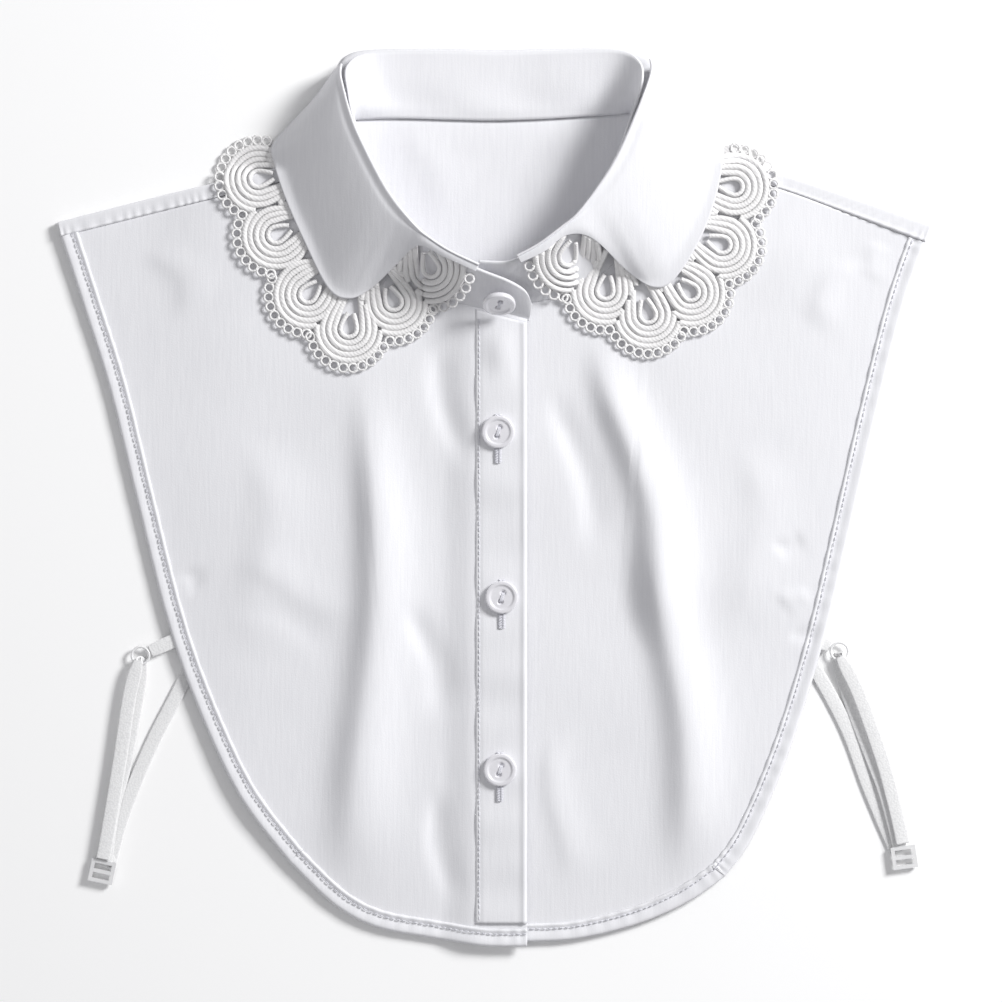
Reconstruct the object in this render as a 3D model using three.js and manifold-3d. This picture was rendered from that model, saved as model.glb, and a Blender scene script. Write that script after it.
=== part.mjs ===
// Detachable shirt collar: a short buttoned front and a plain back under a stand-up collar with
// rounded leaves, a lace edging and elastic side straps, laid flat on its back.
// Millimetres. +Z is up from the surface, +Y runs towards the collar, +X to the wearer's left.
// The origin is on the surface, in the middle of the outline.
import * as THREE from 'three';
import { mergeVertices } from 'three/addons/utils/BufferGeometryUtils.js';
import Module from 'manifold-3d';

const wasm = await Module();
wasm.setup();

// ---------------------------------------------------------------- driving dimensions
const CLOTH = 1.0; // wall of one cloth piece, its two layers at the collar included
const SEAM_GAP = 0.3; // clearance between pieces that touch
const SLIVER = 0.02; // details left by a cut that are smaller than this are cleaned away
const NECK_CLEARANCE = 1.1; // from the middle of the stand's wall to the panels' neck edges
const HEM_WIDTH = 7; // turned hem round the fronts
const HEM_RISE = 0.5; // what the turned hem adds to the cloth's thickness
const HIDDEN_LIFT = 1.3; // lift of the back panel where the collar leaf passes below it
const PLACKET_LEFT = -7.4; // the placket band runs between these two lines
const CENTRE_EDGE = 12.4; // front edge of the right front
const UNDER_EDGE = -6.4; // hidden front edge of the left front
const OVERLAP_SLOPE = 14; // width over which the right front climbs onto the left one
const BACK_INSET = 2; // the back panel is cut this much smaller, so it stays hidden
const LACE_RADIUS = 17.5; // outer radius of one lace scallop
const LACE_SLOPE = 1.0; // how far the lace reaches out for each millimetre that it falls
const BUTTON_RADIUS = 6.2;
const BUTTON_HEIGHT = 2.4;
const BUTTON_HOLE = 0.9;
const BUTTON_HOLE_PITCH = 3.2;
const STRAP_WIDTH = 5.3;
const STRAP_WALL = 1.0;
const TURN_STEPS = 6; // points of the strap's turn through the ring
const RING_RADIUS = 3.3; // centre line of the wire
const RING_WIRE = 0.5; // radius of the wire
const SLIDER = { width: 9.4, length: 8.6, bar: 1.4, height: 1.5 };

// Outer edge of each front: the round bottom from the centre to the turn, then the side up to
// the shoulder tip. Columns: x, y.
const RIGHT_BOTTOM = [[12.4, -170.5], [-4, -170.3], [-24, -167.3], [-45, -163.2], [-61, -154.7], [-78, -138.4]];
const RIGHT_SIDE = [
  [-78, -138.4], [-97.1, -112.9], [-113.4, -78], [-124.8, -45], [-136.2, 0.4], [-146, 40.5],
  [-156.2, 73], [-164.6, 98.8],
];
const LEFT_BOTTOM = [[-6.4, -169], [12, -168.8], [32, -167.6], [55, -161.9], [73.9, -153.5], [87.5, -144]];
const LEFT_SIDE = [
  [87.5, -144], [98.2, -128.8], [112, -96.5], [124.1, -57.8], [134, -16.7], [144, 27],
  [154.9, 71], [163.5, 96.6],
];

// Shoulder edge, where the back panel folds forward, and the seam below it. Columns: x, y.
const RIGHT_SHOULDER = [[-165.6, 104.2], [-133, 112.6], [-104, 119.6], [-63, 129.8]];
const RIGHT_FORWARD_SEAM = [[-164.6, 98.8], [-132, 107], [-103, 114], [-64.3, 123.4]];
const LEFT_SHOULDER = [[165.6, 103.4], [141.2, 112], [112, 121.6], [65, 136.5]];
const LEFT_FORWARD_SEAM = [[163.5, 96.6], [132.4, 108.2], [108, 117], [66.4, 129.6]];

// Collar stand: lower edge at the neck seam and upper edge at the fold, from the buttoned end
// on the right front, round the back of the neck, to the end hidden under it.
const STAND = [
  { neck: [13.2, 66.6, 5.2], fold: [14.4, 72.6, 9.8] },
  { neck: [9.4, 67.6, 4.6], fold: [11.5, 77.4, 15.5] },
  { neck: [3, 69.4, 4.6], fold: [5, 81, 20] },
  { neck: [-7.4, 71.6, 4.6], fold: [-5.9, 85.2, 21.6] },
  { neck: [-24.5, 77.5, 3.6], fold: [-17.3, 90.8, 22.6] },
  { neck: [-41.6, 88.8, 3.6], fold: [-31, 103, 22.4] },
  { neck: [-54.9, 104, 3.6], fold: [-40.9, 115.9, 22.2] },
  { neck: [-61.4, 120, 3.6], fold: [-47.3, 128.1, 22.6] },
  { neck: [-60.4, 134.4, 3.2], fold: [-53, 140.2, 23] },
  { neck: [-54.6, 142.9, 2.2], fold: [-56, 152.4, 19] },
  { neck: [-46, 143.9, 1.9], fold: [-56.4, 163, 11] },
  { neck: [-35, 143.8, 1.9], fold: [-47, 168.6, 3.4] },
  { neck: [-18, 143.3, 1.9], fold: [-21, 169.4, 1.9] },
  { neck: [0, 143, 1.9], fold: [0, 168.8, 1.9] },
  { neck: [18, 143.5, 1.9], fold: [20, 169.3, 1.9] },
  { neck: [35, 144.6, 1.9], fold: [46, 169.5, 3.4] },
  { neck: [46, 145.6, 1.9], fold: [55.6, 164.6, 11] },
  { neck: [53.6, 145.8, 2.2], fold: [56.4, 155, 19] },
  { neck: [60.6, 137, 3.2], fold: [52.3, 143.6, 23] },
  { neck: [62.6, 120, 3.6], fold: [46.9, 129, 22.8] },
  { neck: [56, 99, 3.6], fold: [38.6, 115.5, 22.6] },
  { neck: [41, 84, 3.6], fold: [26.9, 101.2, 22.6] },
  { neck: [24.9, 75.8, 3.6], fold: [16.5, 93.8, 22.6] },
  { neck: [8, 72.6, 3.3], fold: [6, 88.4, 21.4] },
  { neck: [-6, 73.8, 3.3], fold: [-6, 88.4, 19.6] },
];

// Visible part of the leaf on each side, from the centre front to the back corner: the fold it
// starts from, and its free edge or the turn where it goes on below the shoulder.
const RIGHT_LEAF = [
  { fold: [-5.9, 87.2, 23.4], edge: [-7, 85, 22.8] },
  { fold: [-17.3, 92.6, 24.3], edge: [-18.6, 90.2, 23.4] },
  { fold: [-26, 98.4, 24.2], edge: [-28.6, 94.6, 22.2] },
  { fold: [-29.6, 101.8, 24], edge: [-37, 87.8, 13.6] },
  { fold: [-33.4, 106.2, 23.9], edge: [-46.5, 79.2, 6.6] },
  { fold: [-37, 110.8, 23.8], edge: [-55, 75.2, 5] },
  { fold: [-41, 116.8, 23.8], edge: [-63, 79, 5] },
  { fold: [-45, 124, 24], edge: [-72.2, 97, 5] },
  { fold: [-49, 132, 24.3], edge: [-79.6, 114, 5] },
  { fold: [-52.4, 139.4, 24.5], edge: [-84, 128, 4.2] },
  { fold: [-55, 147, 23.5], edge: [-84.4, 133.6, 1] },
  { fold: [-57.2, 155, 20], edge: [-77.8, 141.6, 0.9] },
  { fold: [-58.4, 160, 15.6], edge: [-68.2, 152, 0.9] },
  { fold: [-58.2, 164, 10.6], edge: [-61.4, 161.6, 0.9] },
];
const LEFT_LEAF = [
  { fold: [8.6, 90.4, 24], edge: [9.8, 88.2, 23] },
  { fold: [17, 95, 24.4], edge: [18.8, 92.4, 23.2] },
  { fold: [25, 101, 24.4], edge: [27.4, 98.6, 22.8] },
  { fold: [30.4, 105.6, 24.4], edge: [37.2, 97.4, 19] },
  { fold: [35.4, 111.8, 24.3], edge: [50.6, 85.4, 8] },
  { fold: [39.4, 117.4, 24.3], edge: [60.6, 79.4, 5] },
  { fold: [43.4, 123.4, 24.3], edge: [68.6, 83, 5] },
  { fold: [47.2, 130.4, 24.4], edge: [78.4, 98.6, 5] },
  { fold: [50.2, 137, 24.5], edge: [84.6, 116, 5] },
  { fold: [53, 143.6, 24.6], edge: [87.2, 133, 4.2] },
  { fold: [56, 151, 23.5], edge: [86.8, 137.6, 1] },
  { fold: [58.6, 158, 19], edge: [77, 147, 0.9] },
  { fold: [59.6, 162.4, 14.6], edge: [67.6, 157.4, 0.9] },
  { fold: [59.2, 166, 10.4], edge: [61, 163.6, 0.9] },
];

// Lace scallops on each side, from the centre front outwards. Columns: x and y of the middle,
// the angles at which its rim starts and ends (degrees), and the row of the leaf table that its
// root starts from and ends at.
const RIGHT_SCALLOPS = [
  { x: -24, y: 76, from: 28, to: -94, rootFrom: 0, rootTo: 2.7 },
  { x: -38.2, y: 73, from: -60, to: -128, rootFrom: 2.7, rootTo: 4 },
  { x: -55, y: 65.5, from: -60, to: -146, rootFrom: 4, rootTo: 5.6 },
  { x: -70.5, y: 77.5, from: -95, to: -190, rootFrom: 5.6, rootTo: 7 },
  { x: -82.6, y: 99.6, from: -112, to: -206, rootFrom: 7, rootTo: 8.4 },
  { x: -89.6, y: 119.5, from: -142, to: -226, rootFrom: 8.4, rootTo: 9.6 },
];
const LEFT_SCALLOPS = [
  { x: 24.6, y: 91, from: 168, to: 262, rootFrom: 0, rootTo: 2.8 },
  { x: 41.4, y: 78.8, from: 196, to: 300, rootFrom: 2.8, rootTo: 4.2 },
  { x: 57.6, y: 70, from: 222, to: 326, rootFrom: 4.2, rootTo: 5.6 },
  { x: 73.6, y: 77.8, from: 238, to: 372, rootFrom: 5.6, rootTo: 7.2 },
  { x: 86, y: 95.6, from: 296, to: 386, rootFrom: 7.2, rootTo: 8.4 },
  { x: 90.6, y: 116.4, from: 316, to: 402, rootFrom: 8.4, rootTo: 9.6 },
];

// Hidden part of the leaf and lace, flat on the surface below the back of the neck. Columns: x, y.
const HIDDEN_TOP = [
  [-84.4, 133.4], [-77.8, 141.2], [-68.2, 151.6], [-60.6, 161.6], [-56.4, 167.6], [-47, 170],
  [-21, 170.5], [0, 169.9], [20, 170.4], [46, 170.5], [57, 168], [61, 163.6], [67.6, 157],
  [77, 146.6], [86.8, 137.2],
];
const HIDDEN_LEAF_EDGE = [[-83.4, 130.6], [-60, 127], [-30, 125], [0, 124.4], [30, 125.4], [60, 129], [86, 134.4]];
const HIDDEN_LACE_EDGE = [[-101, 123], [-86, 108], [-50, 103.4], [0, 101.4], [50, 104], [88, 112], [98, 131]];

// Largest folds of the fronts: soft ridges between two ends. Columns: ends, half-width, rise.
const RIDGES = [
  { x0: -46, y0: 26, x1: -51, y1: -146, reach: 16, rise: 5 },
  { x0: 44, y0: 34, x1: 66, y1: -34, reach: 15, rise: 5 },
  { x0: 66, y0: -34, x1: 74, y1: -132, reach: 15, rise: 5 },
];

// Buttons down the placket, and the one on the stand, which leans with it (radians).
const BUTTONS = [{ x: 1.4, y: 24.7 }, { x: 2.8, y: -38 }, { x: 2.1, y: -103.4 }];

const STAND_BUTTON = { x: 1.8, y: 74, z: 14.2, lean: 0.95 };

// Side straps. The strap leaves the back panel's edge, runs down to the slider, up to the ring
// and back down to the slider. Columns: x, y, z of the strap's middle line.
const STRAPS = {
  right: {
    tab: [[-121.4, -54.4], [-130.6, -58.6]],
    ring: [-134.4, -60.2],
    lower: [[-115.4, -64.6, 0.6], [-120.6, -75, 0.6], [-130.6, -94.6, 0.6], [-141, -120, 0.6], [-145.8, -137.4, 0.6]],
    rise: [[-147.6, -137.4, 1.9], [-144.8, -118, 1.9], [-141, -104, 1.3], [-136.4, -80, 0.7], [-133.8, -63.4, 0.7]],
    fall: [[-135.4, -63.4, 3.6], [-138.6, -76, 3.3], [-142.2, -100, 3.2], [-147, -129, 3.2], [-148.6, -137.4, 3.2]],
    slider: { x: -149, y: -142.2, turn: 12 },
  },
  left: {
    tab: [[123.6, -55], [127.2, -56.8]],
    ring: [131, -58.6],
    lower: [[116.6, -58.6, 0.6], [123.4, -68, 0.6], [134, -88, 0.6], [142.6, -111, 0.6], [151.2, -131.4, 0.6]],
    rise: [[153.6, -131.8, 1.9], [148.6, -113, 1.9], [143, -98, 1.3], [135.4, -78, 0.7], [130.6, -61.8, 0.7]],
    fall: [[131.8, -61.8, 3.6], [138, -74, 3.3], [147, -99, 3.2], [152.4, -119, 3.2], [155.2, -131.6, 3.2]],
    slider: { x: 155.6, y: -136.8, turn: -8 },
  },
};

// ---------------------------------------------------------------- small mathematics
const lerp = (a, b, t) => a + (b - a) * t;
const smooth = (a, b, x) => {
  const t = THREE.MathUtils.clamp((x - a) / (b - a), 0, 1);
  return t * t * (3 - 2 * t);
};

/** Smooth curve through rows of x, y and perhaps z; t runs evenly from row to row. */
function curveThrough(rows) {
  const points = rows.map(([x, y, z = 0]) => new THREE.Vector3(x, y, z));
  const curve = new THREE.CatmullRomCurve3(points, false, 'centripetal');
  return (t) => curve.getPoint(THREE.MathUtils.clamp(t, 0, 1));
}

/** Coons patch: the flat shape spanned by four edge curves that share their corners. */
function coons(bottom, top, left, right) {
  return (u, v) => {
    const across = left(v).multiplyScalar(1 - u).add(right(v).multiplyScalar(u));
    const along = bottom(u).multiplyScalar(1 - v).add(top(u).multiplyScalar(v));
    const corners = bottom(0).multiplyScalar((1 - u) * (1 - v))
      .add(bottom(1).multiplyScalar(u * (1 - v)))
      .add(top(0).multiplyScalar((1 - u) * v))
      .add(top(1).multiplyScalar(u * v));
    return across.add(along).sub(corners);
  };
}

/** Straight-ruled shape between two curves. */
const ruled = (inner, outer) => (u, v) => inner(v).lerp(outer(v), u);

// ---------------------------------------------------------------- closed solids
/** Closed solid between two grids of points with the same rows and columns. */
function gridSolid(columns, rows, upper, lower) {
  const positions = [];
  const index = [];
  const count = (columns + 1) * (rows + 1);
  for (const side of [upper, lower]) {
    for (let j = 0; j <= rows; j++) {
      for (let i = 0; i <= columns; i++) {
        positions.push(...side(i / columns, j / rows).toArray());
      }
    }
  }
  const quad = (a, b, c, d) => index.push(a, b, c, a, c, d);
  const at = (i, j) => j * (columns + 1) + i;
  for (let j = 0; j < rows; j++) {
    for (let i = 0; i < columns; i++) {
      quad(at(i, j), at(i + 1, j), at(i + 1, j + 1), at(i, j + 1));
      quad(count + at(i, j), count + at(i, j + 1), count + at(i + 1, j + 1), count + at(i + 1, j));
    }
  }
  for (let i = 0; i < columns; i++) {
    quad(at(i, 0), count + at(i, 0), count + at(i + 1, 0), at(i + 1, 0));
    quad(at(i + 1, rows), count + at(i + 1, rows), count + at(i, rows), at(i, rows));
  }
  for (let j = 0; j < rows; j++) {
    quad(at(0, j + 1), count + at(0, j + 1), count + at(0, j), at(0, j));
    quad(at(columns, j), count + at(columns, j), count + at(columns, j + 1), at(columns, j + 1));
  }
  return solidFrom(positions, index);
}

/** Manifold solid from positions and triangle indices, turned outwards when it is inside out. */
function solidFrom(positions, index) {
  const geometry = new THREE.BufferGeometry();
  geometry.setAttribute('position', new THREE.Float32BufferAttribute(positions, 3));
  geometry.setIndex(index);
  const merged = mergeVertices(geometry, 1e-4);
  const vertices = merged.attributes.position.array;
  const triangles = Array.from(merged.index.array);
  let volume = 0;
  const corner = (k) => new THREE.Vector3().fromArray(vertices, triangles[k] * 3);
  for (let k = 0; k < triangles.length; k += 3) {
    volume += corner(k).dot(corner(k + 1).cross(corner(k + 2)));
  }
  if (volume < 0) triangles.reverse();
  const mesh = new wasm.Mesh({
    numProp: 3,
    vertProperties: Float32Array.from(vertices),
    triVerts: Uint32Array.from(triangles),
  });
  return new wasm.Manifold(mesh);
}

/** Manifold solid of a three.js geometry. */
function solidOf(geometry) {
  geometry.deleteAttribute('normal');
  geometry.deleteAttribute('uv');
  const merged = mergeVertices(geometry, 1e-4);
  return solidFrom(Array.from(merged.attributes.position.array), Array.from(merged.index.array));
}

/** Largest piece of a solid once others, and the seam gap above and below them, are cut away. */
function clearOf(solid, others, sideGap = 0) {
  const g = SEAM_GAP;
  const shifts = [[0, 0, 0], [0, 0, g], [0, 0, -g]];
  if (sideGap > 0) shifts.push([sideGap, 0, 0], [-sideGap, 0, 0], [0, sideGap, 0], [0, -sideGap, 0]);
  let rest = solid;
  for (const other of others) {
    for (const shift of shifts) rest = rest.subtract(other.translate(shift));
  }
  return rest.decompose().sort((a, b) => b.volume() - a.volume())[0].simplify(SLIVER);
}

/** three.js geometry of a manifold solid. */
function geometryOf(solid) {
  const mesh = solid.getMesh();
  const geometry = new THREE.BufferGeometry();
  geometry.setAttribute('position', new THREE.BufferAttribute(mesh.vertProperties, 3));
  geometry.setIndex(new THREE.BufferAttribute(mesh.triVerts, 1));
  geometry.computeVertexNormals();
  return geometry;
}

/** Layer of cloth over a flat shape, between two heights that depend on x and y. */
function layer(plan, columns, rows, low, high) {
  const raised = (height) => (u, v) => {
    const p = plan(u, v);
    return new THREE.Vector3(p.x, p.y, height(p.x, p.y));
  };
  return gridSolid(columns, rows, raised(high), raised(low));
}

/** Sheet of one thickness along the normals of its middle surface. */
function sheet(middle, columns, rows, thickness) {
  const step = 1e-3;
  const offset = (distance) => (u, v) => {
    const du = middle(Math.min(u + step, 1), v).sub(middle(Math.max(u - step, 0), v));
    const dv = middle(u, Math.min(v + step, 1)).sub(middle(u, Math.max(v - step, 0)));
    return middle(u, v).addScaledVector(du.cross(dv).normalize(), distance);
  };
  return gridSolid(columns, rows, offset(thickness / 2), offset(-thickness / 2));
}

// ---------------------------------------------------------------- heights of the layers
/** Lift of the back panel over the hidden part of the collar. */
function hiddenLift(x, y) {
  return HIDDEN_LIFT * smooth(68, 98, y) * smooth(136, 106, Math.abs(x));
}
const backLow = (x, y) => hiddenLift(x, y);
const backHigh = (x, y) => hiddenLift(x, y) + CLOTH;

/** Rise of the fronts in their largest folds. */
function foldRise(x, y) {
  let rise = 0;
  for (const ridge of RIDGES) {
    const dx = ridge.x1 - ridge.x0;
    const dy = ridge.y1 - ridge.y0;
    const along = ((x - ridge.x0) * dx + (y - ridge.y0) * dy) / (dx * dx + dy * dy);
    const nearest = THREE.MathUtils.clamp(along, 0.16, 0.84);
    const distance = Math.hypot(x - ridge.x0 - nearest * dx, y - ridge.y0 - nearest * dy);
    rise = Math.max(rise, ridge.rise * smooth(ridge.reach * 1.35, 0, distance));
  }
  return rise;
}
const frontLow = (x, y) => backHigh(x, y) + SEAM_GAP + foldRise(x, y);
const frontHigh = (x, y) => frontLow(x, y) + CLOTH;

/** The right front climbs onto the left one towards the centre. */
const overlapRise = (x) => (CLOTH + HEM_RISE + SEAM_GAP) * smooth(UNDER_EDGE - OVERLAP_SLOPE, UNDER_EDGE - 1, x);
const rightLow = (x, y) => frontLow(x, y) + overlapRise(x);
const rightHigh = (x, y) => rightLow(x, y) + CLOTH;
const highestFront = (x, y) => (x < CENTRE_EDGE + 1 ? rightHigh(x, y) : frontHigh(x, y));

// ---------------------------------------------------------------- cloth panels
/** Curve moved sideways in its own plane, to the left of its direction. */
function offsetCurve(curve, distance) {
  return (t) => {
    const ahead = curve(Math.min(t + 1e-3, 1)).sub(curve(Math.max(t - 1e-3, 0))).normalize();
    return curve(t).add(new THREE.Vector3(-ahead.y * distance, ahead.x * distance, 0));
  };
}

/** Curve through the neck seam of the stand's rows, set off from the stand's own lower edge. */
function neckSeam(firstRow, lastRow, away) {
  const rows = STAND.slice(Math.min(firstRow, lastRow), Math.max(firstRow, lastRow) + 1);
  const ordered = firstRow > lastRow ? rows.reverse() : rows;
  return offsetCurve(curveThrough(ordered.map((row) => row.neck.slice(0, 2))), away);
}

/** Two curves one after the other; share is the part of t that the first one takes. */
const joined = (first, second, share) => (t) => (
  t < share ? first(t / share) : second((t - share) / (1 - share))
);

/** Half front: a patch inside the hem line, with the thicker turned hem round its outer edge. */
function frontPanel({ bottom, side, neck, shoulderSeam, centreX, low, high, turn }) {
  const outerBottom = curveThrough(bottom);
  const outerSide = curveThrough(side);
  const innerBottom = offsetCurve(outerBottom, turn * HEM_WIDTH);
  const innerSide = offsetCurve(outerSide, turn * HEM_WIDTH);
  const shoulder = curveThrough([...shoulderSeam].reverse());
  const top = joined(neck, shoulder, 0.4);
  const cornerBottom = new THREE.Vector3(centreX, innerBottom(0).y, 0);
  const cornerTop = new THREE.Vector3(centreX, top(0).y, 0);
  const centre = (t) => cornerBottom.clone().lerp(cornerTop, t);
  const edgeTop = top(1);
  const start = innerSide(0);
  const end = innerSide(1);
  const sideLine = (t) => innerSide(t).add(edgeTop.clone().sub(end).multiplyScalar(t ** 6));
  const bottomLine = (u) => innerBottom(u)
    .add(cornerBottom.clone().sub(innerBottom(0)).multiplyScalar(1 - u))
    .add(start.clone().sub(innerBottom(1)).multiplyScalar(u));
  const topLine = (u) => top(u).add(cornerTop.clone().sub(top(0)).multiplyScalar(1 - u));
  const body = layer(coons(bottomLine, topLine, centre, sideLine), 9, 16, low, high);
  const hemOuter = joined(outerBottom, outerSide, 0.34);
  const overlap = HEM_WIDTH + 0.6;
  const hemInner = joined(offsetCurve(outerBottom, turn * overlap), offsetCurve(outerSide, turn * overlap), 0.34);
  const hemHigh = (x, y) => high(x, y) + HEM_RISE;
  const hem = layer(ruled(hemInner, hemOuter), 1, 32, low, hemHigh);
  return body.add(hem);
}

function makeFrontRight() {
  return frontPanel({
    bottom: RIGHT_BOTTOM,
    side: RIGHT_SIDE,
    neck: neckSeam(0, 7, -NECK_CLEARANCE),
    shoulderSeam: RIGHT_FORWARD_SEAM,
    centreX: CENTRE_EDGE,
    low: rightLow,
    high: rightHigh,
    turn: -1,
  });
}

function makeFrontLeft() {
  return frontPanel({
    bottom: LEFT_BOTTOM,
    side: LEFT_SIDE,
    neck: neckSeam(24, 19, NECK_CLEARANCE),
    shoulderSeam: LEFT_FORWARD_SEAM,
    centreX: UNDER_EDGE,
    low: frontLow,
    high: frontHigh,
    turn: 1,
  });
}

/** Back panel with both shoulders folded forward: flat plate, rims round the folds, flaps. */
function makeBackPanel() {
  const inset = ([x, y]) => [x - Math.sign(x) * BACK_INSET, y + (y < 0 ? BACK_INSET : 0)];
  const right = curveThrough([...RIGHT_SIDE.map(inset).slice(0, -1), RIGHT_SHOULDER[0]]);
  const left = curveThrough([...LEFT_SIDE.map(inset).slice(0, -1), LEFT_SHOULDER[0]]);
  const bottomRows = [...[...RIGHT_BOTTOM].reverse(), ...LEFT_BOTTOM.slice(2)];
  const bottom = curveThrough(bottomRows.map(([x, y]) => [x, y + BACK_INSET]));
  const rightShoulder = curveThrough(RIGHT_SHOULDER);
  const leftShoulder = curveThrough([...LEFT_SHOULDER].reverse());
  const neck = neckSeam(8, 18, -NECK_CLEARANCE);
  const shoulders = joined(rightShoulder, joined(neck, leftShoulder, 0.5), 1 / 3);
  const fit = (curve, from, to) => (t) => curve(t)
    .add(from.clone().sub(curve(0)).multiplyScalar((1 - t) ** 4))
    .add(to.clone().sub(curve(1)).multiplyScalar(t ** 4));
  const bottomFit = fit(bottom, right(0), left(0));
  const plate = layer(coons(bottomFit, shoulders, right, left), 18, 14, backLow, backHigh);
  let solid = plate;
  const flapLow = (x, y) => backHigh(x, y) + SEAM_GAP;
  const flapHigh = (x, y) => flapLow(x, y) + CLOTH;
  const sides = [
    [RIGHT_SHOULDER, RIGHT_FORWARD_SEAM, 1],
    [LEFT_SHOULDER, LEFT_FORWARD_SEAM, -1],
  ];
  for (const [shoulder, seam, turn] of sides) {
    const edge = curveThrough(shoulder);
    const outside = offsetCurve(edge, turn * CLOTH);
    const seamLine = offsetCurve(curveThrough(seam), turn * SEAM_GAP);
    solid = solid.add(layer(ruled(offsetCurve(edge, -turn * 0.4), outside), 1, 12, backLow, flapHigh));
    solid = solid.add(layer(ruled(seamLine, outside), 1, 12, flapLow, flapHigh));
  }
  return solid;
}

function makePlacket() {
  const low = (x, y) => rightHigh(x, y) + SEAM_GAP;
  const high = (x, y) => low(x, y) + CLOTH * 0.8;
  const bottomLeft = new THREE.Vector3(PLACKET_LEFT, -161.8, 0);
  const bottomRight = new THREE.Vector3(CENTRE_EDGE, -161.8, 0);
  const topLeft = new THREE.Vector3(PLACKET_LEFT, 70.4, 0);
  const topRight = new THREE.Vector3(CENTRE_EDGE, 65.4, 0);
  const along = (a, b) => (t) => a.clone().lerp(b, t);
  return layer(ruled(along(bottomLeft, topLeft), along(bottomRight, topRight)), 3, 24, low, high);
}

// ---------------------------------------------------------------- collar
/** Curve through one column of a table of rows. */
const column = (rows, name) => curveThrough(rows.map((row) => row[name]));

function makeStand() {
  const neck = column(STAND, 'neck');
  const fold = column(STAND, 'fold');
  const middle = (u, v) => neck(v).lerp(fold(v), u);
  return sheet(middle, 2, 48, CLOTH);
}

/** Leaf surface of one side: it rolls over at the fold and falls to its free edge. */
function leafMiddle(rows) {
  const fold = column(rows, 'fold');
  const edge = column(rows, 'edge');
  return (u, v) => {
    const a = fold(v);
    const b = edge(v);
    const p = a.clone().lerp(b, u);
    p.z = lerp(a.z, b.z, u ** 1.25);
    return p;
  };
}

function makeLeaf() {
  const plateLow = () => 0;
  const plateHigh = () => CLOTH;
  const top = curveThrough(HIDDEN_TOP);
  const hidden = layer(ruled(top, curveThrough(HIDDEN_LEAF_EDGE)), 1, 28, plateLow, plateHigh);
  const right = sheet(leafMiddle(RIGHT_LEAF), 4, 22, CLOTH);
  const left = sheet(leafMiddle(LEFT_LEAF), 4, 22, CLOTH);
  return hidden.add(right).add(left);
}

/** One side of the lace: rows from the leaf's edge out to the scalloped rim. */
function laceMiddle(leafRows, scallops) {
  const root = column(leafRows, 'edge');
  const last = leafRows.length - 1;
  return (u, v) => {
    const place = Math.min(v * scallops.length, scallops.length - 1e-6);
    const scallop = scallops[Math.floor(place)];
    const part = place - Math.floor(place);
    const angle = THREE.MathUtils.degToRad(lerp(scallop.from, scallop.to, part));
    const start = root(lerp(scallop.rootFrom, scallop.rootTo, part) / last);
    const rim = new THREE.Vector3(
      scallop.x + LACE_RADIUS * Math.cos(angle),
      scallop.y + LACE_RADIUS * Math.sin(angle),
      0,
    );
    const away = rim.clone().sub(start).setZ(0).normalize();
    const p = start.clone().addScaledVector(away, SEAM_GAP + 0.2).lerp(rim, u);
    const rest = highestFront(p.x, p.y) + SEAM_GAP + CLOTH / 2;
    const fall = Math.max(start.z - rest, 0);
    const reach = rim.distanceTo(start.clone().setZ(rim.z));
    p.z = rest + fall * Math.max(1 - (u * reach) / (fall * LACE_SLOPE + 1), 0);
    return p;
  };
}

function makeLace() {
  const hiddenLine = offsetCurve(curveThrough(HIDDEN_LEAF_EDGE), -0.3);
  const hidden = layer(ruled(hiddenLine, curveThrough(HIDDEN_LACE_EDGE)), 1, 20, () => 0, () => CLOTH);
  const right = sheet(laceMiddle(RIGHT_LEAF, RIGHT_SCALLOPS), 3, 36, CLOTH);
  const left = sheet(laceMiddle(LEFT_LEAF, LEFT_SCALLOPS), 3, 36, CLOTH);
  return { hidden, right, left };
}

// ---------------------------------------------------------------- buttons and straps
function makeButton() {
  const outline = new THREE.Shape();
  outline.absarc(0, 0, BUTTON_RADIUS, 0, Math.PI * 2);
  for (const side of [-1, 1]) {
    const hole = new THREE.Path();
    hole.absarc(0, (side * BUTTON_HOLE_PITCH) / 2, BUTTON_HOLE, 0, Math.PI * 2);
    outline.holes.push(hole);
  }
  return new THREE.ExtrudeGeometry(outline, {
    depth: BUTTON_HEIGHT, bevelEnabled: false, curveSegments: 8,
  });
}

/** Flat elastic strap along a curve of points; it gathers to half its width at `gather`. */
function strapSolid(rows, steps, gather = -1) {
  const path = curveThrough(rows);
  const middle = (u, v) => {
    const ahead = path(Math.min(v + 1e-3, 1)).sub(path(Math.max(v - 1e-3, 0)));
    const flat = new THREE.Vector3(-ahead.y, ahead.x, 0).normalize();
    const narrow = 1 - 0.5 * Math.exp(-(((v - gather) / 0.06) ** 2));
    return path(v).addScaledVector(flat, (u - 0.5) * STRAP_WIDTH * narrow);
  };
  return sheet(middle, 1, steps, STRAP_WALL);
}

/** The strap's turn over the ring's wire, from the strand below it to the strand above it. */
function turnOverWire(below, above, ring) {
  const radius = (above[2] - below[2]) / 2;
  const middle = new THREE.Vector2((below[0] + above[0]) / 2, (below[1] + above[1]) / 2);
  const inwards = new THREE.Vector2(ring[0], ring[1]).sub(middle).normalize();
  const rows = [];
  for (let step = 1; step < TURN_STEPS; step++) {
    const angle = (Math.PI * step) / TURN_STEPS;
    const share = step / TURN_STEPS;
    rows.push([
      lerp(below[0], above[0], share) + inwards.x * radius * Math.sin(angle),
      lerp(below[1], above[1], share) + inwards.y * radius * Math.sin(angle),
      below[2] + radius * (1 - Math.cos(angle)),
    ]);
  }
  return rows;
}

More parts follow.
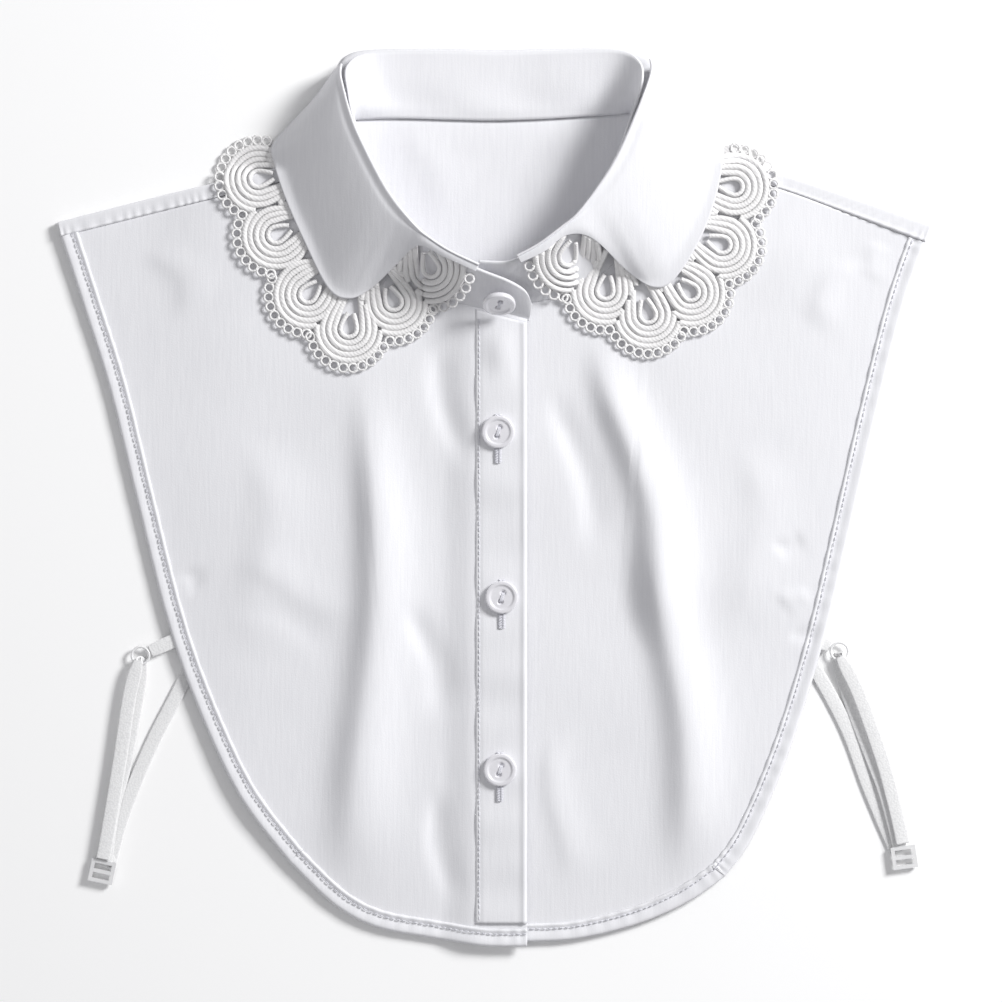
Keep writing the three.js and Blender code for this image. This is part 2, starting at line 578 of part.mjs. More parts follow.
function makeSlider({ x, y, turn }) {
  const { width, length, bar, height } = SLIDER;
  const outline = new THREE.Shape();
  outline.moveTo(-width / 2, -length / 2);
  outline.lineTo(width / 2, -length / 2);
  outline.lineTo(width / 2, length / 2);
  outline.lineTo(-width / 2, length / 2);
  outline.closePath();
  const slotWidth = width / 2 - bar;
  const slotLength = (length - 3 * bar) / 2;
  for (const side of [-1, 1]) {
    const middle = side * (slotLength + bar) / 2;
    const slot = new THREE.Path();
    slot.moveTo(-slotWidth, middle - slotLength / 2);
    slot.lineTo(-slotWidth, middle + slotLength / 2);
    slot.lineTo(slotWidth, middle + slotLength / 2);
    slot.lineTo(slotWidth, middle - slotLength / 2);
    slot.closePath();
    outline.holes.push(slot);
  }
  const geometry = new THREE.ExtrudeGeometry(outline, { depth: height, bevelEnabled: false });
  geometry.rotateZ(-THREE.MathUtils.degToRad(turn));
  geometry.translate(x, y, 1.1);
  return geometry;
}

// ---------------------------------------------------------------- assembly
const collar = new THREE.Group();

function finish(color, roughness, metalness = 0) {
  return new THREE.MeshStandardMaterial({ color, roughness, metalness });
}
const WHITE_CLOTH = finish('#f1f1f5', 0.85);
const WHITE_LACE = finish('#f6f5f3', 0.8);
const PEARL_PLASTIC = finish('#e9e8ee', 0.3);
const ELASTIC = finish('#e6e6e6', 0.7);
const CLEAR_PLASTIC = finish('#f4f4f4', 0.2);

function addPiece(name, geometry, material) {
  const mesh = new THREE.Mesh(geometry, material);
  mesh.name = name;
  collar.add(mesh);
  return mesh;
}

const back = makeBackPanel();
const frontLeft = clearOf(makeFrontLeft(), [back]);
const frontRight = clearOf(makeFrontRight(), [back, frontLeft]);
const stand = clearOf(makeStand(), [back, frontLeft, frontRight]);
const placket = clearOf(makePlacket(), [frontRight, stand]);
const leaf = clearOf(makeLeaf(), [back, frontLeft, frontRight, stand]);
const lace = makeLace();
const laceBack = clearOf(lace.hidden, [back, leaf]);
const laceRight = clearOf(lace.right, [back, frontLeft, frontRight, placket, stand, leaf, laceBack]);
const laceLeft = clearOf(lace.left, [back, frontLeft, frontRight, placket, stand, leaf, laceBack]);
addPiece('back_panel', geometryOf(back), WHITE_CLOTH);
addPiece('front_left', geometryOf(frontLeft), WHITE_CLOTH);
addPiece('front_right', geometryOf(frontRight), WHITE_CLOTH);
addPiece('placket', geometryOf(placket), WHITE_CLOTH);
addPiece('collar_stand', geometryOf(stand), WHITE_CLOTH);
addPiece('collar_leaf', geometryOf(leaf), WHITE_CLOTH);
addPiece('lace_back', geometryOf(laceBack), WHITE_LACE);
addPiece('lace_right', geometryOf(laceRight), WHITE_LACE);
addPiece('lace_left', geometryOf(laceLeft), WHITE_LACE);

BUTTONS.forEach(({ x, y }, k) => {
  const button = addPiece(`button_${k + 1}`, makeButton(), PEARL_PLASTIC);
  const placketHigh = rightHigh(x, y) + SEAM_GAP + CLOTH * 0.8;
  button.position.set(x, y, placketHigh + SEAM_GAP);
});

// The fourth button lies on the stand's slope, beside the end of the lace.
const standButton = addPiece('button_stand', makeButton(), PEARL_PLASTIC);
standButton.rotation.x = STAND_BUTTON.lean;
standButton.position.set(STAND_BUTTON.x, STAND_BUTTON.y, STAND_BUTTON.z);

for (const side of ['right', 'left']) {
  const strap = STRAPS[side];
  const front = side === 'right' ? frontRight : frontLeft;
  const ringHeight = (strap.rise.at(-1)[2] + strap.fall[0][2]) / 2;
  const ring = new THREE.TorusGeometry(RING_RADIUS, RING_WIRE, 6, 20);
  ring.translate(strap.ring[0], strap.ring[1], ringHeight);
  const ringSolid = solidOf(ring);
  const tabRows = strap.tab.map(([x, y]) => [x, y, ringHeight]);
  const tab = clearOf(strapSolid(tabRows, 2), [back, front, ringSolid], SEAM_GAP);
  const turn = turnOverWire(strap.rise.at(-1), strap.fall[0], strap.ring);
  const loopRows = [...strap.rise, ...turn, ...strap.fall];
  const lower = clearOf(strapSolid(strap.lower, 10), [back, front], SEAM_GAP);
  const loop = clearOf(strapSolid(loopRows, 34, 0.5), [lower, tab, ringSolid]);
  addPiece(`tab_${side}`, geometryOf(tab), ELASTIC);
  addPiece(`ring_${side}`, geometryOf(ringSolid), CLEAR_PLASTIC);
  addPiece(`strap_${side}_lower`, geometryOf(lower), ELASTIC);
  addPiece(`strap_${side}_loop`, geometryOf(loop), ELASTIC);
  addPiece(`slider_${side}`, makeSlider(strap.slider), CLEAR_PLASTIC);
}

export default collar;
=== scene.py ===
"""Detachable shirt collar laid flat: short front and back, lace-edged collar, elastic straps.

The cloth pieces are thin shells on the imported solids' form. Lengths in the tables are in
millimetres, in the part's own frame: +Z up from the surface, +Y towards the collar.
"""

import logging
from dataclasses import dataclass, field
from enum import Enum
from typing import Callable, Sequence

import bpy
import numpy as np
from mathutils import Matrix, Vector

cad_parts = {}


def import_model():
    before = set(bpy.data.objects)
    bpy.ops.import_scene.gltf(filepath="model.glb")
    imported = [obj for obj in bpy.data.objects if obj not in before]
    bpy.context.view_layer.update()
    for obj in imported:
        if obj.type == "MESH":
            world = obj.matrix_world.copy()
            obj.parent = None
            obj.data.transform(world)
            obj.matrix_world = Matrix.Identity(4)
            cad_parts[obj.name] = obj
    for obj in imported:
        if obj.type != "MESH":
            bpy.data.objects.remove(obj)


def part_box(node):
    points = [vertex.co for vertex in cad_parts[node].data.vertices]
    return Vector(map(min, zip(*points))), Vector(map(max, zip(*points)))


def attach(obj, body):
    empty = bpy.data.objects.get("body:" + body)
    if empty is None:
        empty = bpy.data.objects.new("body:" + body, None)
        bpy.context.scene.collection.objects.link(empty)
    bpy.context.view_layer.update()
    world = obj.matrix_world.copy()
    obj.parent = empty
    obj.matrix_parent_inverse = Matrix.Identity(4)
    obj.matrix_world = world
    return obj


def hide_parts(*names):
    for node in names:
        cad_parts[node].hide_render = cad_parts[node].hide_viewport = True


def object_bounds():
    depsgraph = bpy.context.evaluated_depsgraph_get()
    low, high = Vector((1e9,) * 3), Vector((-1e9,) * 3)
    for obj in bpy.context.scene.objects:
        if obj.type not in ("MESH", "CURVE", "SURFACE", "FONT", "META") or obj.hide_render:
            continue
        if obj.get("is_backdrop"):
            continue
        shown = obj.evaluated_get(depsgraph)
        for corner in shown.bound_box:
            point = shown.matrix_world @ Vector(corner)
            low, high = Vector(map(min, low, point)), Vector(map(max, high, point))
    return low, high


LOG = logging.getLogger("collar")
MM = 0.001
BODY = "root"
Array = np.ndarray
Curve = Callable[[Array], Array]
Height = Callable[[Array, Array], Array]


class Side(Enum):
    """Wearer's side of a piece."""

    RIGHT = "right"
    LEFT = "left"


# ------------------------------------------------------------------ curves and surfaces
def through(rows: Sequence[Sequence[float]]) -> Curve:
    """Smooth curve through a short table of points (Catmull-Rom, even from row to row).

    Args:
        rows: points as x, y and perhaps z.

    Returns:
        A function from parameters in 0..1 to points, worked out as whole arrays.
    """
    table = np.array([list(row) + [0.0] * (3 - len(row)) for row in rows], float)
    last = len(table) - 1

    def at(t: Array) -> Array:
        """Points of the curve at the parameters t.

        Args:
            t: parameters from 0 to 1.

        Returns:
            (..., 3) points in mm.
        """
        place = np.clip(np.asarray(t, float), 0, 1) * last
        i = np.minimum(place.astype(int), last - 1)
        f = (place - i)[..., None]
        p0, p1 = table[np.maximum(i - 1, 0)], table[i]
        p2, p3 = table[i + 1], table[np.minimum(i + 2, last)]
        cubic = (2 * p0 - 5 * p1 + 4 * p2 - p3) * f**2 + (3 * p1 - p0 - 3 * p2 + p3) * f**3
        return 0.5 * (2 * p1 + (p2 - p0) * f + cubic)

    return at


def joined(first: Curve, second: Curve, share: float) -> Curve:
    """Two curves end to end; the first one takes `share` of the parameter.

    Args:
        first: the curve that comes first.
        second: the curve that follows.
        share: the first one's part of the parameter.

    Returns:
        The joined curve.
    """

    def at(t: Array) -> Array:
        """Points of the joined curve at the parameters t.

        Args:
            t: parameters from 0 to 1.

        Returns:
            (..., 3) points in mm.
        """
        t = np.asarray(t, float)
        near = (t < share)[..., None]
        return np.where(near, first(t / share), second((t - share) / (1 - share)))

    return at


def offset(curve: Curve, distance: float) -> Curve:
    """Curve moved sideways in its own plane, to the left of its direction, in mm.

    Args:
        curve: the curve to move.
        distance: how far to the left, in mm.

    Returns:
        The moved curve.
    """

    def at(t: Array) -> Array:
        """Points of the moved curve at the parameters t.

        Args:
            t: parameters from 0 to 1.

        Returns:
            (..., 3) points in mm.
        """
        t = np.asarray(t, float)
        ahead = curve(np.minimum(t + 1e-3, 1)) - curve(np.maximum(t - 1e-3, 0))
        ahead /= np.linalg.norm(ahead[..., :2], axis=-1, keepdims=True) + 1e-12
        side = np.stack([-ahead[..., 1], ahead[..., 0], np.zeros_like(ahead[..., 0])], -1)
        return curve(t) + side * distance

    return at


def coons(u: Array, v: Array, bottom: Curve, top: Curve, left: Curve, right: Curve) -> Array:
    """Coons patch: both ruled shapes between opposite edges, less the corners' bilinear one.

    Args:
        u: parameters from left to right.
        v: parameters from bottom to top.
        bottom: edge at v = 0.
        top: edge at v = 1.
        left: edge at u = 0.
        right: edge at u = 1.

    Returns:
        The patch's points, flat.
    """
    a, b = u[..., None], v[..., None]
    zero, one = np.zeros(1), np.ones(1)
    ruled = left(v) * (1 - a) + right(v) * a + bottom(u) * (1 - b) + top(u) * b
    low = bottom(zero)[0] * (1 - a) + bottom(one)[0] * a
    high = top(zero)[0] * (1 - a) + top(one)[0] * a
    return ruled - low * (1 - b) - high * b


def grid(columns: int, rows: int) -> tuple[Array, Array]:
    """Parameters u along the columns and v along the rows, each from 0 to 1."""
    v, u = np.meshgrid(np.linspace(0, 1, rows), np.linspace(0, 1, columns), indexing="ij")
    return u, v


def smooth(a: float, b: float, x: Array) -> Array:
    """Smooth step from 0 at a to 1 at b."""
    t = np.clip((x - a) / (b - a), 0, 1)
    return t * t * (3 - 2 * t)


def quads(rows: int, columns: int, wrap: bool = False) -> Array:
    """Quad indices of a grid with that many rows and columns of vertices.

    Args:
        rows: rows of vertices.
        columns: vertices in a row.
        wrap: whether each row is a closed ring.

    Returns:
        (m, 4) indices.
    """
    i, j = np.meshgrid(np.arange(rows - 1), np.arange(columns if wrap else columns - 1), indexing="ij")
    k = (j + 1) % columns
    corners = [i * columns + j, i * columns + k, (i + 1) * columns + k, (i + 1) * columns + j]
    return np.stack(corners, -1).reshape(-1, 4)


def make_mesh(name: str, points: Array, faces: Array, material: bpy.types.Material) -> bpy.types.Object:
    """Object at the origin from points in millimetres and quads.

    Args:
        name: the piece's name.
        points: (n, 3) points in mm.
        faces: (m, 4) indices.
        material: what it is dressed with.

    Returns:
        The linked object, smooth shaded.
    """
    mesh = bpy.data.meshes.new(name)
    mesh.vertices.add(len(points))
    mesh.vertices.foreach_set("co", (points * MM).astype(np.float32).ravel())
    mesh.loops.add(faces.size)
    mesh.loops.foreach_set("vertex_index", faces.astype(np.int32).ravel())
    mesh.polygons.add(len(faces))
    mesh.polygons.foreach_set("loop_start", np.arange(0, faces.size, 4, dtype=np.int32))
    mesh.polygons.foreach_set("use_smooth", np.ones(len(faces), bool))
    mesh.update(calc_edges=True)
    mesh.validate()
    mesh.materials.append(material)
    obj = bpy.data.objects.new(name, mesh)
    bpy.context.scene.collection.objects.link(obj)
    return obj


def cloth_shell(name: str, surface: Array, wall: float, material: bpy.types.Material,
                outwards: Sequence[float] = (0, 0, 1)) -> bpy.types.Object:
    """Thin shell of cloth below a surface given on a grid.

    Args:
        name: the piece's name.
        surface: (rows, columns, 3) points of the face side in mm.
        wall: thickness in mm.
        material: the cloth's finish.
        outwards: direction that the face side looks in.

    Returns:
        The object, its thickness made by a Solidify modifier.
    """
    rows, columns = surface.shape[:2]
    points = surface.reshape(-1, 3)
    faces = quads(rows, columns)
    a, b, c = points[faces[:, 0]], points[faces[:, 1]], points[faces[:, 3]]
    if np.cross(b - a, c - a).sum(0) @ np.asarray(outwards, float) < 0:
        faces = faces[:, ::-1]
    obj = make_mesh(name, points, faces, material)
    shell = obj.modifiers.new("wall", "SOLIDIFY")
    shell.thickness = wall * MM
    shell.offset = -1
    shell.use_even_offset = False
    return obj


def tube(path: Array, width: float, height: float, sides: int = 6) -> tuple[Array, Array]:
    """Closed tube of elliptic section along a path.

    Each ring of points is the path's point plus width times cosine along the sideways vector
    plus height times sine along the upward one; the end rings shrink to a point.

    Args:
        path: (n, 3) points in mm.
        width: half-width in mm.
        height: half-height in mm.
        sides: points round the section.

    Returns:
        Points and quads.
    """
    ahead = np.gradient(path, axis=0)
    ahead /= np.linalg.norm(ahead, axis=1, keepdims=True) + 1e-12
    side = np.cross([0.0, 0.0, 1.0], ahead)
    side /= np.linalg.norm(side, axis=1, keepdims=True) + 1e-12
    up = np.cross(ahead, side)
    path = np.vstack([path[:1], path, path[-1:]])
    side, up = np.vstack([side[:1], side, side[-1:]]), np.vstack([up[:1], up, up[-1:]])
    size = np.ones(len(path))
    size[[0, -1]] = 0.02
    angle = np.linspace(0, 2 * np.pi, sides, endpoint=False)
    ring = (np.cos(angle)[None, :, None] * side[:, None] * width
            + np.sin(angle)[None, :, None] * up[:, None] * height)
    points = path[:, None] + ring * size[:, None, None]
    return points.reshape(-1, 3), quads(len(path), sides, wrap=True)


def merge(parts: Sequence[tuple[Array, Array]]) -> tuple[Array, Array]:
    """Several point and quad arrays as one.

    Args:
        parts: pairs of points and quads.

    Returns:
        Points and quads.
    """
    starts = np.cumsum([0] + [len(points) for points, _ in parts[:-1]])
    points = np.vstack([points for points, _ in parts])
    return points, np.vstack([faces + start for (_, faces), start in zip(parts, starts)])


def copies(points: Array, faces: Array, centres: Array, along: Array) -> tuple[Array, Array]:
    """Copies of a small shape, its x axis turned to each direction `along` and its z kept up.

    Args:
        points: the shape's points.
        faces: its quads.
        centres: where each copy goes.
        along: the direction of each copy's x axis.

    Returns:
        Points and quads.
    """
    ahead = along / (np.linalg.norm(along, axis=1, keepdims=True) + 1e-12)
    side = np.cross([0.0, 0.0, 1.0], ahead)
    side /= np.linalg.norm(side, axis=1, keepdims=True) + 1e-12
    up = np.cross(ahead, side)
    turn = np.stack([ahead, side, up], 1)
    placed = np.einsum("pk,nkj->npj", points, turn) + centres[:, None]
    steps = np.arange(len(centres))[:, None, None] * len(points)
    return placed.reshape(-1, 3), (faces[None] + steps).reshape(-1, 4)


def stitch_shape(length: float, radius: float) -> tuple[Array, Array]:
    """One stitch: a thread that dips at both ends, half an ellipse along x.

    Args:
        length: from hole to hole in mm.
        radius: the thread's radius in mm.

    Returns:
        Points and quads.
    """
    t = np.linspace(-1, 1, 5)
    path = np.stack([t * length / 2, 0 * t, radius * 0.9 * (1 - t**2) - 0.1], 1)
    return tube(path, radius, radius * 0.8, 5)


def even_steps(path: Array, pitch: float) -> Array:
    """Points at even distances along a dense path.

    Args:
        path: dense points of the path.
        pitch: distance from one to the next in mm.

    Returns:
        The evenly spaced points.
    """
    run = np.concatenate([[0], np.cumsum(np.linalg.norm(np.diff(path, axis=0), axis=1))])
    wanted = np.arange(pitch / 2, run[-1], pitch)
    return np.stack([np.interp(wanted, run, path[:, k]) for k in range(3)], 1)


def stitch_row(path: Array, pitch: float, length: float, radius: float) -> tuple[Array, Array]:
    """Row of machine stitches along a path on the cloth."""
    centres = even_steps(path, pitch)
    return copies(*stitch_shape(length, radius), centres, np.gradient(centres, axis=0))


# ------------------------------------------------------------------ finishes
def linear(colour: str) -> tuple[float, float, float, float]:
    """Linear RGBA of an sRGB hex colour.

    Args:
        colour: sRGB colour as #RRGGBB.

    Returns:
        Linear red, green, blue and an alpha of 1.
    """
    channels = np.array([int(colour[i:i + 2], 16) / 255 for i in (1, 3, 5)])
    low = channels / 12.92
    high = ((channels + 0.055) / 1.055) ** 2.4
    return (*np.where(channels <= 0.04045, low, high).tolist(), 1.0)


def add_node(tree: bpy.types.NodeTree, kind: str, settings: dict | None = None,
             links: dict | None = None) -> bpy.types.Node:
    """Adds a node, sets its attributes or sockets, and links its inputs.

    Args:
        tree: the material's tree.
        kind: the node's type.
        settings: attribute names or input names to values.
        links: input names or indices to output sockets.

    Returns:
        The node.
    """
    node = tree.nodes.new(kind)
    for name, value in (settings or {}).items():
        if name in node.inputs:
            node.inputs[name].default_value = value
        else:
            setattr(node, name, value)
    for name, socket in (links or {}).items():
        tree.links.new(socket, node.inputs[name])
    return node


def new_material(name: str) -> tuple[bpy.types.Material, bpy.types.NodeTree, bpy.types.Node]:
    """An empty material with its Principled shader, ready for a pattern.

    Args:
        name: the material's name.

    Returns:
        The material, its node tree and its shader node.
    """
    material = bpy.data.materials.new(name)
    material.use_nodes = True
    return material, material.node_tree, material.node_tree.nodes["Principled BSDF"]


@dataclass(frozen=True)
class CrepeCloth:
    """Plain-woven polyester crepe: fine upright slubs over a grain, dull with a faint bloom."""

    face: str = "#EBEBEE"
    shade: str = "#DFDFE3"
    slub_pitch: float = 0.9  # mm across the slubs; real ones are about 0.4, too fine to show
    slub_length: float = 14.0  # mm
    grain: float = 0.55  # mm

    def make(self) -> bpy.types.Material:
        """The cloth's material.

        Returns:
            The material.
        """
        material, tree, shader = new_material("polyester_crepe_woven")
        place = add_node(tree, "ShaderNodeTexCoord").outputs["Object"]
        slubs = add_node(tree, "ShaderNodeMapping",
                         {"Scale": (1 / (self.slub_pitch * MM), 1 / (self.slub_length * MM), 300.0)},
                         {"Vector": place})
        streak = add_node(tree, "ShaderNodeTexNoise", {"Scale": 1.0, "Detail": 3.0},
                          {"Vector": slubs.outputs[0]})
        grain = add_node(tree, "ShaderNodeTexNoise", {"Scale": 1 / (self.grain * MM), "Detail": 2.0},
                         {"Vector": place})
        tint = add_node(tree, "ShaderNodeMix", {"data_type": "RGBA"}, {"Factor": streak.outputs["Fac"]})
        tint.inputs[6].default_value = linear(self.shade)
        tint.inputs[7].default_value = linear(self.face)
        tree.links.new(tint.outputs[2], shader.inputs["Base Color"])
        height = add_node(tree, "ShaderNodeMath", {"operation": "ADD"},
                          {0: streak.outputs["Fac"], 1: grain.outputs["Fac"]})
        bump = add_node(tree, "ShaderNodeBump", {"Strength": 0.16, "Distance": 0.0003},
                        {"Height": height.outputs[0]})
        tree.links.new(bump.outputs[0], shader.inputs["Normal"])
        shader.inputs["Roughness"].default_value = 0.82
        shader.inputs["Specular IOR Level"].default_value = 0.3
        shader.inputs["Sheen Weight"].default_value = 0.12
        shader.inputs["Sheen Roughness"].default_value = 0.5
        return material


@dataclass(frozen=True)
class TwistedThread:
    """Thread of lace or stitching: matt, with the slant grooves of its twist."""

    name: str
    colour: str
    groove: float = 0.8  # mm between turns of the twist; coarser than the real one, to show
    strength: float = 0.35

    def make(self) -> bpy.types.Material:
        """The thread's material.

        Returns:
            The material.
        """
        material, tree, shader = new_material(self.name)
        place = add_node(tree, "ShaderNodeTexCoord").outputs["Object"]
        turns = add_node(tree, "ShaderNodeTexWave",
                         {"Scale": 0.31 / (self.groove * MM), "Distortion": 3.0, "Detail": 1.0,
                          "bands_direction": "DIAGONAL"}, {"Vector": place})
        bump = add_node(tree, "ShaderNodeBump", {"Strength": self.strength, "Distance": 0.0002},
                        {"Height": turns.outputs["Fac"]})
        tree.links.new(bump.outputs[0], shader.inputs["Normal"])
        shader.inputs["Base Color"].default_value = linear(self.colour)
        shader.inputs["Roughness"].default_value = 0.75
        shader.inputs["Sheen Weight"].default_value = 0.15
        return material


@dataclass(frozen=True)
class ElasticBand:
    """Woven elastic: cross ribs and a slight glitter where the yarns catch the light."""

    colour: str = "#E0E0E1"
    rib: float = 0.7  # mm

    def make(self) -> bpy.types.Material:
        """The elastic's material.

        Returns:
            The material.
        """
        material, tree, shader = new_material("elastic_woven")
        place = add_node(tree, "ShaderNodeTexCoord").outputs["Object"]
        yarn = add_node(tree, "ShaderNodeTexVoronoi", {"Scale": 1 / (self.rib * MM)}, {"Vector": place})
        ramp = add_node(tree, "ShaderNodeMix", {"data_type": "RGBA"}, {"Factor": yarn.outputs["Distance"]})
        ramp.inputs[6].default_value = linear("#F2F2F2")
        ramp.inputs[7].default_value = linear(self.colour)
        tree.links.new(ramp.outputs[2], shader.inputs["Base Color"])
        bump = add_node(tree, "ShaderNodeBump", {"Strength": 0.4, "Distance": 0.0002},
                        {"Height": yarn.outputs["Distance"]})
        tree.links.new(bump.outputs[0], shader.inputs["Normal"])
        shader.inputs["Roughness"].default_value = 0.5
        shader.inputs["Sheen Weight"].default_value = 0.3
        return material


@dataclass(frozen=True)
class MouldedPlastic:
    """Moulded plastic, pearly or clear: smooth and glossy with faint clouds in its depth."""

    name: str
    light: str
    dark: str
    clear: float = 0.0
    roughness: float = 0.22

    def make(self) -> bpy.types.Material:
        """The plastic's material.

        Returns:
            The material.
        """
        material, tree, shader = new_material(self.name)
        place = add_node(tree, "ShaderNodeTexCoord").outputs["Object"]
        cloud = add_node(tree, "ShaderNodeTexNoise", {"Scale": 260.0, "Detail": 2.0}, {"Vector": place})
        tint = add_node(tree, "ShaderNodeMix", {"data_type": "RGBA"}, {"Factor": cloud.outputs["Fac"]})
        tint.inputs[6].default_value = linear(self.dark)
        tint.inputs[7].default_value = linear(self.light)
        tree.links.new(tint.outputs[2], shader.inputs["Base Color"])
        shader.inputs["Roughness"].default_value = self.roughness
        shader.inputs["IOR"].default_value = 1.5
        shader.inputs["Transmission Weight"].default_value = self.clear
        return material


@dataclass(frozen=True)
class TablePaper:
    """Uncoated white paper below the object: even and matt, so that it only takes soft shadows."""

    colour: str = "#FDFDFD"
    roughness: float = 0.9

    def make(self) -> bpy.types.Material:
        """The paper's material.

        Returns:
            The material.
        """
        material, _, shader = new_material("white_table_paper")
        shader.inputs["Base Color"].default_value = linear(self.colour)
        shader.inputs["Roughness"].default_value = self.roughness
        return material


@dataclass
class Finishes:
    """Every material of the object, made once."""

    cloth: bpy.types.Material = field(default_factory=lambda: CrepeCloth().make())
    lace: bpy.types.Material = field(
        default_factory=lambda: TwistedThread("guipure_lace_embroidered", "#E9E8E8").make())
    thread: bpy.types.Material = field(
        default_factory=lambda: TwistedThread("sewing_thread_spun", "#DDDDE4", 0.5, 0.2).make())
    resin: bpy.types.Material = field(
        default_factory=lambda: MouldedPlastic("polyester_resin_turned", "#F1F0F4", "#E6E5EA", 0.15).make())
    elastic: bpy.types.Material = field(default_factory=lambda: ElasticBand().make())
    clear: bpy.types.Material = field(
        default_factory=lambda: MouldedPlastic("clear_nylon_moulded", "#F8F8F8", "#ECECEE", 0.2, 0.2).make())


# ------------------------------------------------------------------ tables of the form
RIGHT_BOTTOM = [[12.4, -170.5], [-4, -170.3], [-24, -167.3], [-45, -163.2], [-61, -154.7], [-78, -138.4]]
RIGHT_SIDE = [
    [-78, -138.4], [-97.1, -112.9], [-113.4, -78], [-124.8, -45], [-136.2, 0.4], [-146, 40.5],
    [-156.2, 73], [-164.6, 98.8],
]
LEFT_BOTTOM = [[-6.4, -169], [12, -168.8], [32, -167.6], [55, -161.9], [73.9, -153.5], [87.5, -144]]
LEFT_SIDE = [
    [87.5, -144], [98.2, -128.8], [112, -96.5], [124.1, -57.8], [134, -16.7], [144, 27],
    [154.9, 71], [163.5, 96.6],
]
RIGHT_SHOULDER = [[-165.8, 104.4], [-133, 112.8], [-104, 119.8], [-63, 130]]
RIGHT_FORWARD_SEAM = [[-164.6, 98.8], [-132, 107], [-103, 114], [-64.3, 123.4]]
LEFT_SHOULDER = [[165.8, 103.6], [141.2, 112.2], [112, 121.8], [65, 136.7]]
LEFT_FORWARD_SEAM = [[163.5, 96.6], [132.4, 108.2], [108, 117], [66.4, 129.6]]

# Stand: neck seam x, y, z and fold x, y, z, from the buttoned end round the neck.
STAND = [
    [13.2, 66.6, 5.2, 14.4, 72.6, 9.8], [9.4, 67.6, 4.6, 11.5, 77.4, 15.5],
    [3, 69.4, 4.6, 5, 81, 20], [-7.4, 71.6, 4.6, -5.9, 85.2, 21.6],
    [-24.5, 77.5, 3.6, -17.3, 90.8, 22.6], [-41.6, 88.8, 3.6, -31, 103, 22.4],
    [-54.9, 104, 3.6, -40.9, 115.9, 22.2], [-61.4, 120, 3.6, -47.3, 128.1, 22.6],
    [-60.4, 134.4, 3.2, -53, 140.2, 23], [-54.6, 142.9, 2.2, -56, 152.4, 19],
    [-46, 143.9, 1.9, -56.4, 163, 11], [-35, 143.8, 1.9, -47, 168.6, 3.4],
    [-18, 143.3, 1.9, -21, 169.4, 1.9], [0, 143, 1.9, 0, 168.8, 1.9],
    [18, 143.5, 1.9, 20, 169.3, 1.9], [35, 144.6, 1.9, 46, 169.5, 3.4],
    [46, 145.6, 1.9, 55.6, 164.6, 11], [53.6, 145.8, 2.2, 56.4, 155, 19],
    [60.6, 137, 3.2, 52.3, 143.6, 23], [62.6, 120, 3.6, 46.9, 129, 22.8],
    [56, 99, 3.6, 38.6, 115.5, 22.6], [41, 84, 3.6, 26.9, 101.2, 22.6],
    [24.9, 75.8, 3.6, 16.5, 93.8, 22.6], [8, 72.6, 3.3, 6, 88.4, 21.4],
    [-6, 73.8, 3.3, -6, 88.4, 19.6],
]
# Leaf of each side: fold x, y, z and free edge or turn x, y, z, from the centre front.
RIGHT_LEAF = [
    [-5.9, 87.2, 23.4, -7, 85, 22.8], [-17.3, 92.6, 24.3, -18.6, 90.2, 23.4],
    [-26, 98.4, 24.2, -28.6, 94.6, 22.2], [-29.6, 101.8, 24, -37, 87.8, 13.6],
    [-33.4, 106.2, 23.9, -46.5, 79.2, 6.6], [-37, 110.8, 23.8, -55, 75.2, 5],
    [-41, 116.8, 23.8, -63, 79, 5], [-45, 124, 24, -72.2, 97, 5],
    [-49, 132, 24.3, -79.6, 114, 5], [-52.4, 139.4, 24.5, -84, 128, 4.2],
    [-55, 147, 23.5, -84.4, 133.6, 1], [-57.2, 155, 20, -77.8, 141.6, 0.9],
    [-58.4, 160, 15.6, -68.2, 152, 0.9], [-58.2, 164, 10.6, -61.4, 161.6, 0.9],
]
LEFT_LEAF = [
    [8.6, 90.4, 24, 9.8, 88.2, 23], [17, 95, 24.4, 18.8, 92.4, 23.2],
    [25, 101, 24.4, 27.4, 98.6, 22.8], [30.4, 105.6, 24.4, 37.2, 97.4, 19],
    [35.4, 111.8, 24.3, 50.6, 85.4, 8], [39.4, 117.4, 24.3, 60.6, 79.4, 5],
    [43.4, 123.4, 24.3, 68.6, 83, 5], [47.2, 130.4, 24.4, 78.4, 98.6, 5],
    [50.2, 137, 24.5, 84.6, 116, 5], [53, 143.6, 24.6, 87.2, 133, 4.2],
    [56, 151, 23.5, 86.8, 137.6, 1], [58.6, 158, 19, 77, 147, 0.9],
    [59.6, 162.4, 14.6, 67.6, 157.4, 0.9], [59.2, 166, 10.4, 61, 163.6, 0.9],
]
HIDDEN_TOP = [
    [-84.4, 133.4], [-77.8, 141.2], [-68.2, 151.6], [-60.6, 161.6], [-56.4, 167.6], [-47, 170],
    [-21, 170.5], [0, 169.9], [20, 170.4], [46, 170.5], [57, 168], [61, 163.6], [67.6, 157],
    [77, 146.6], [86.8, 137.2],
]
HIDDEN_EDGE = [[-83.4, 130.6], [-60, 127], [-30, 125], [0, 124.4], [30, 125.4], [60, 129], [86, 134.4]]

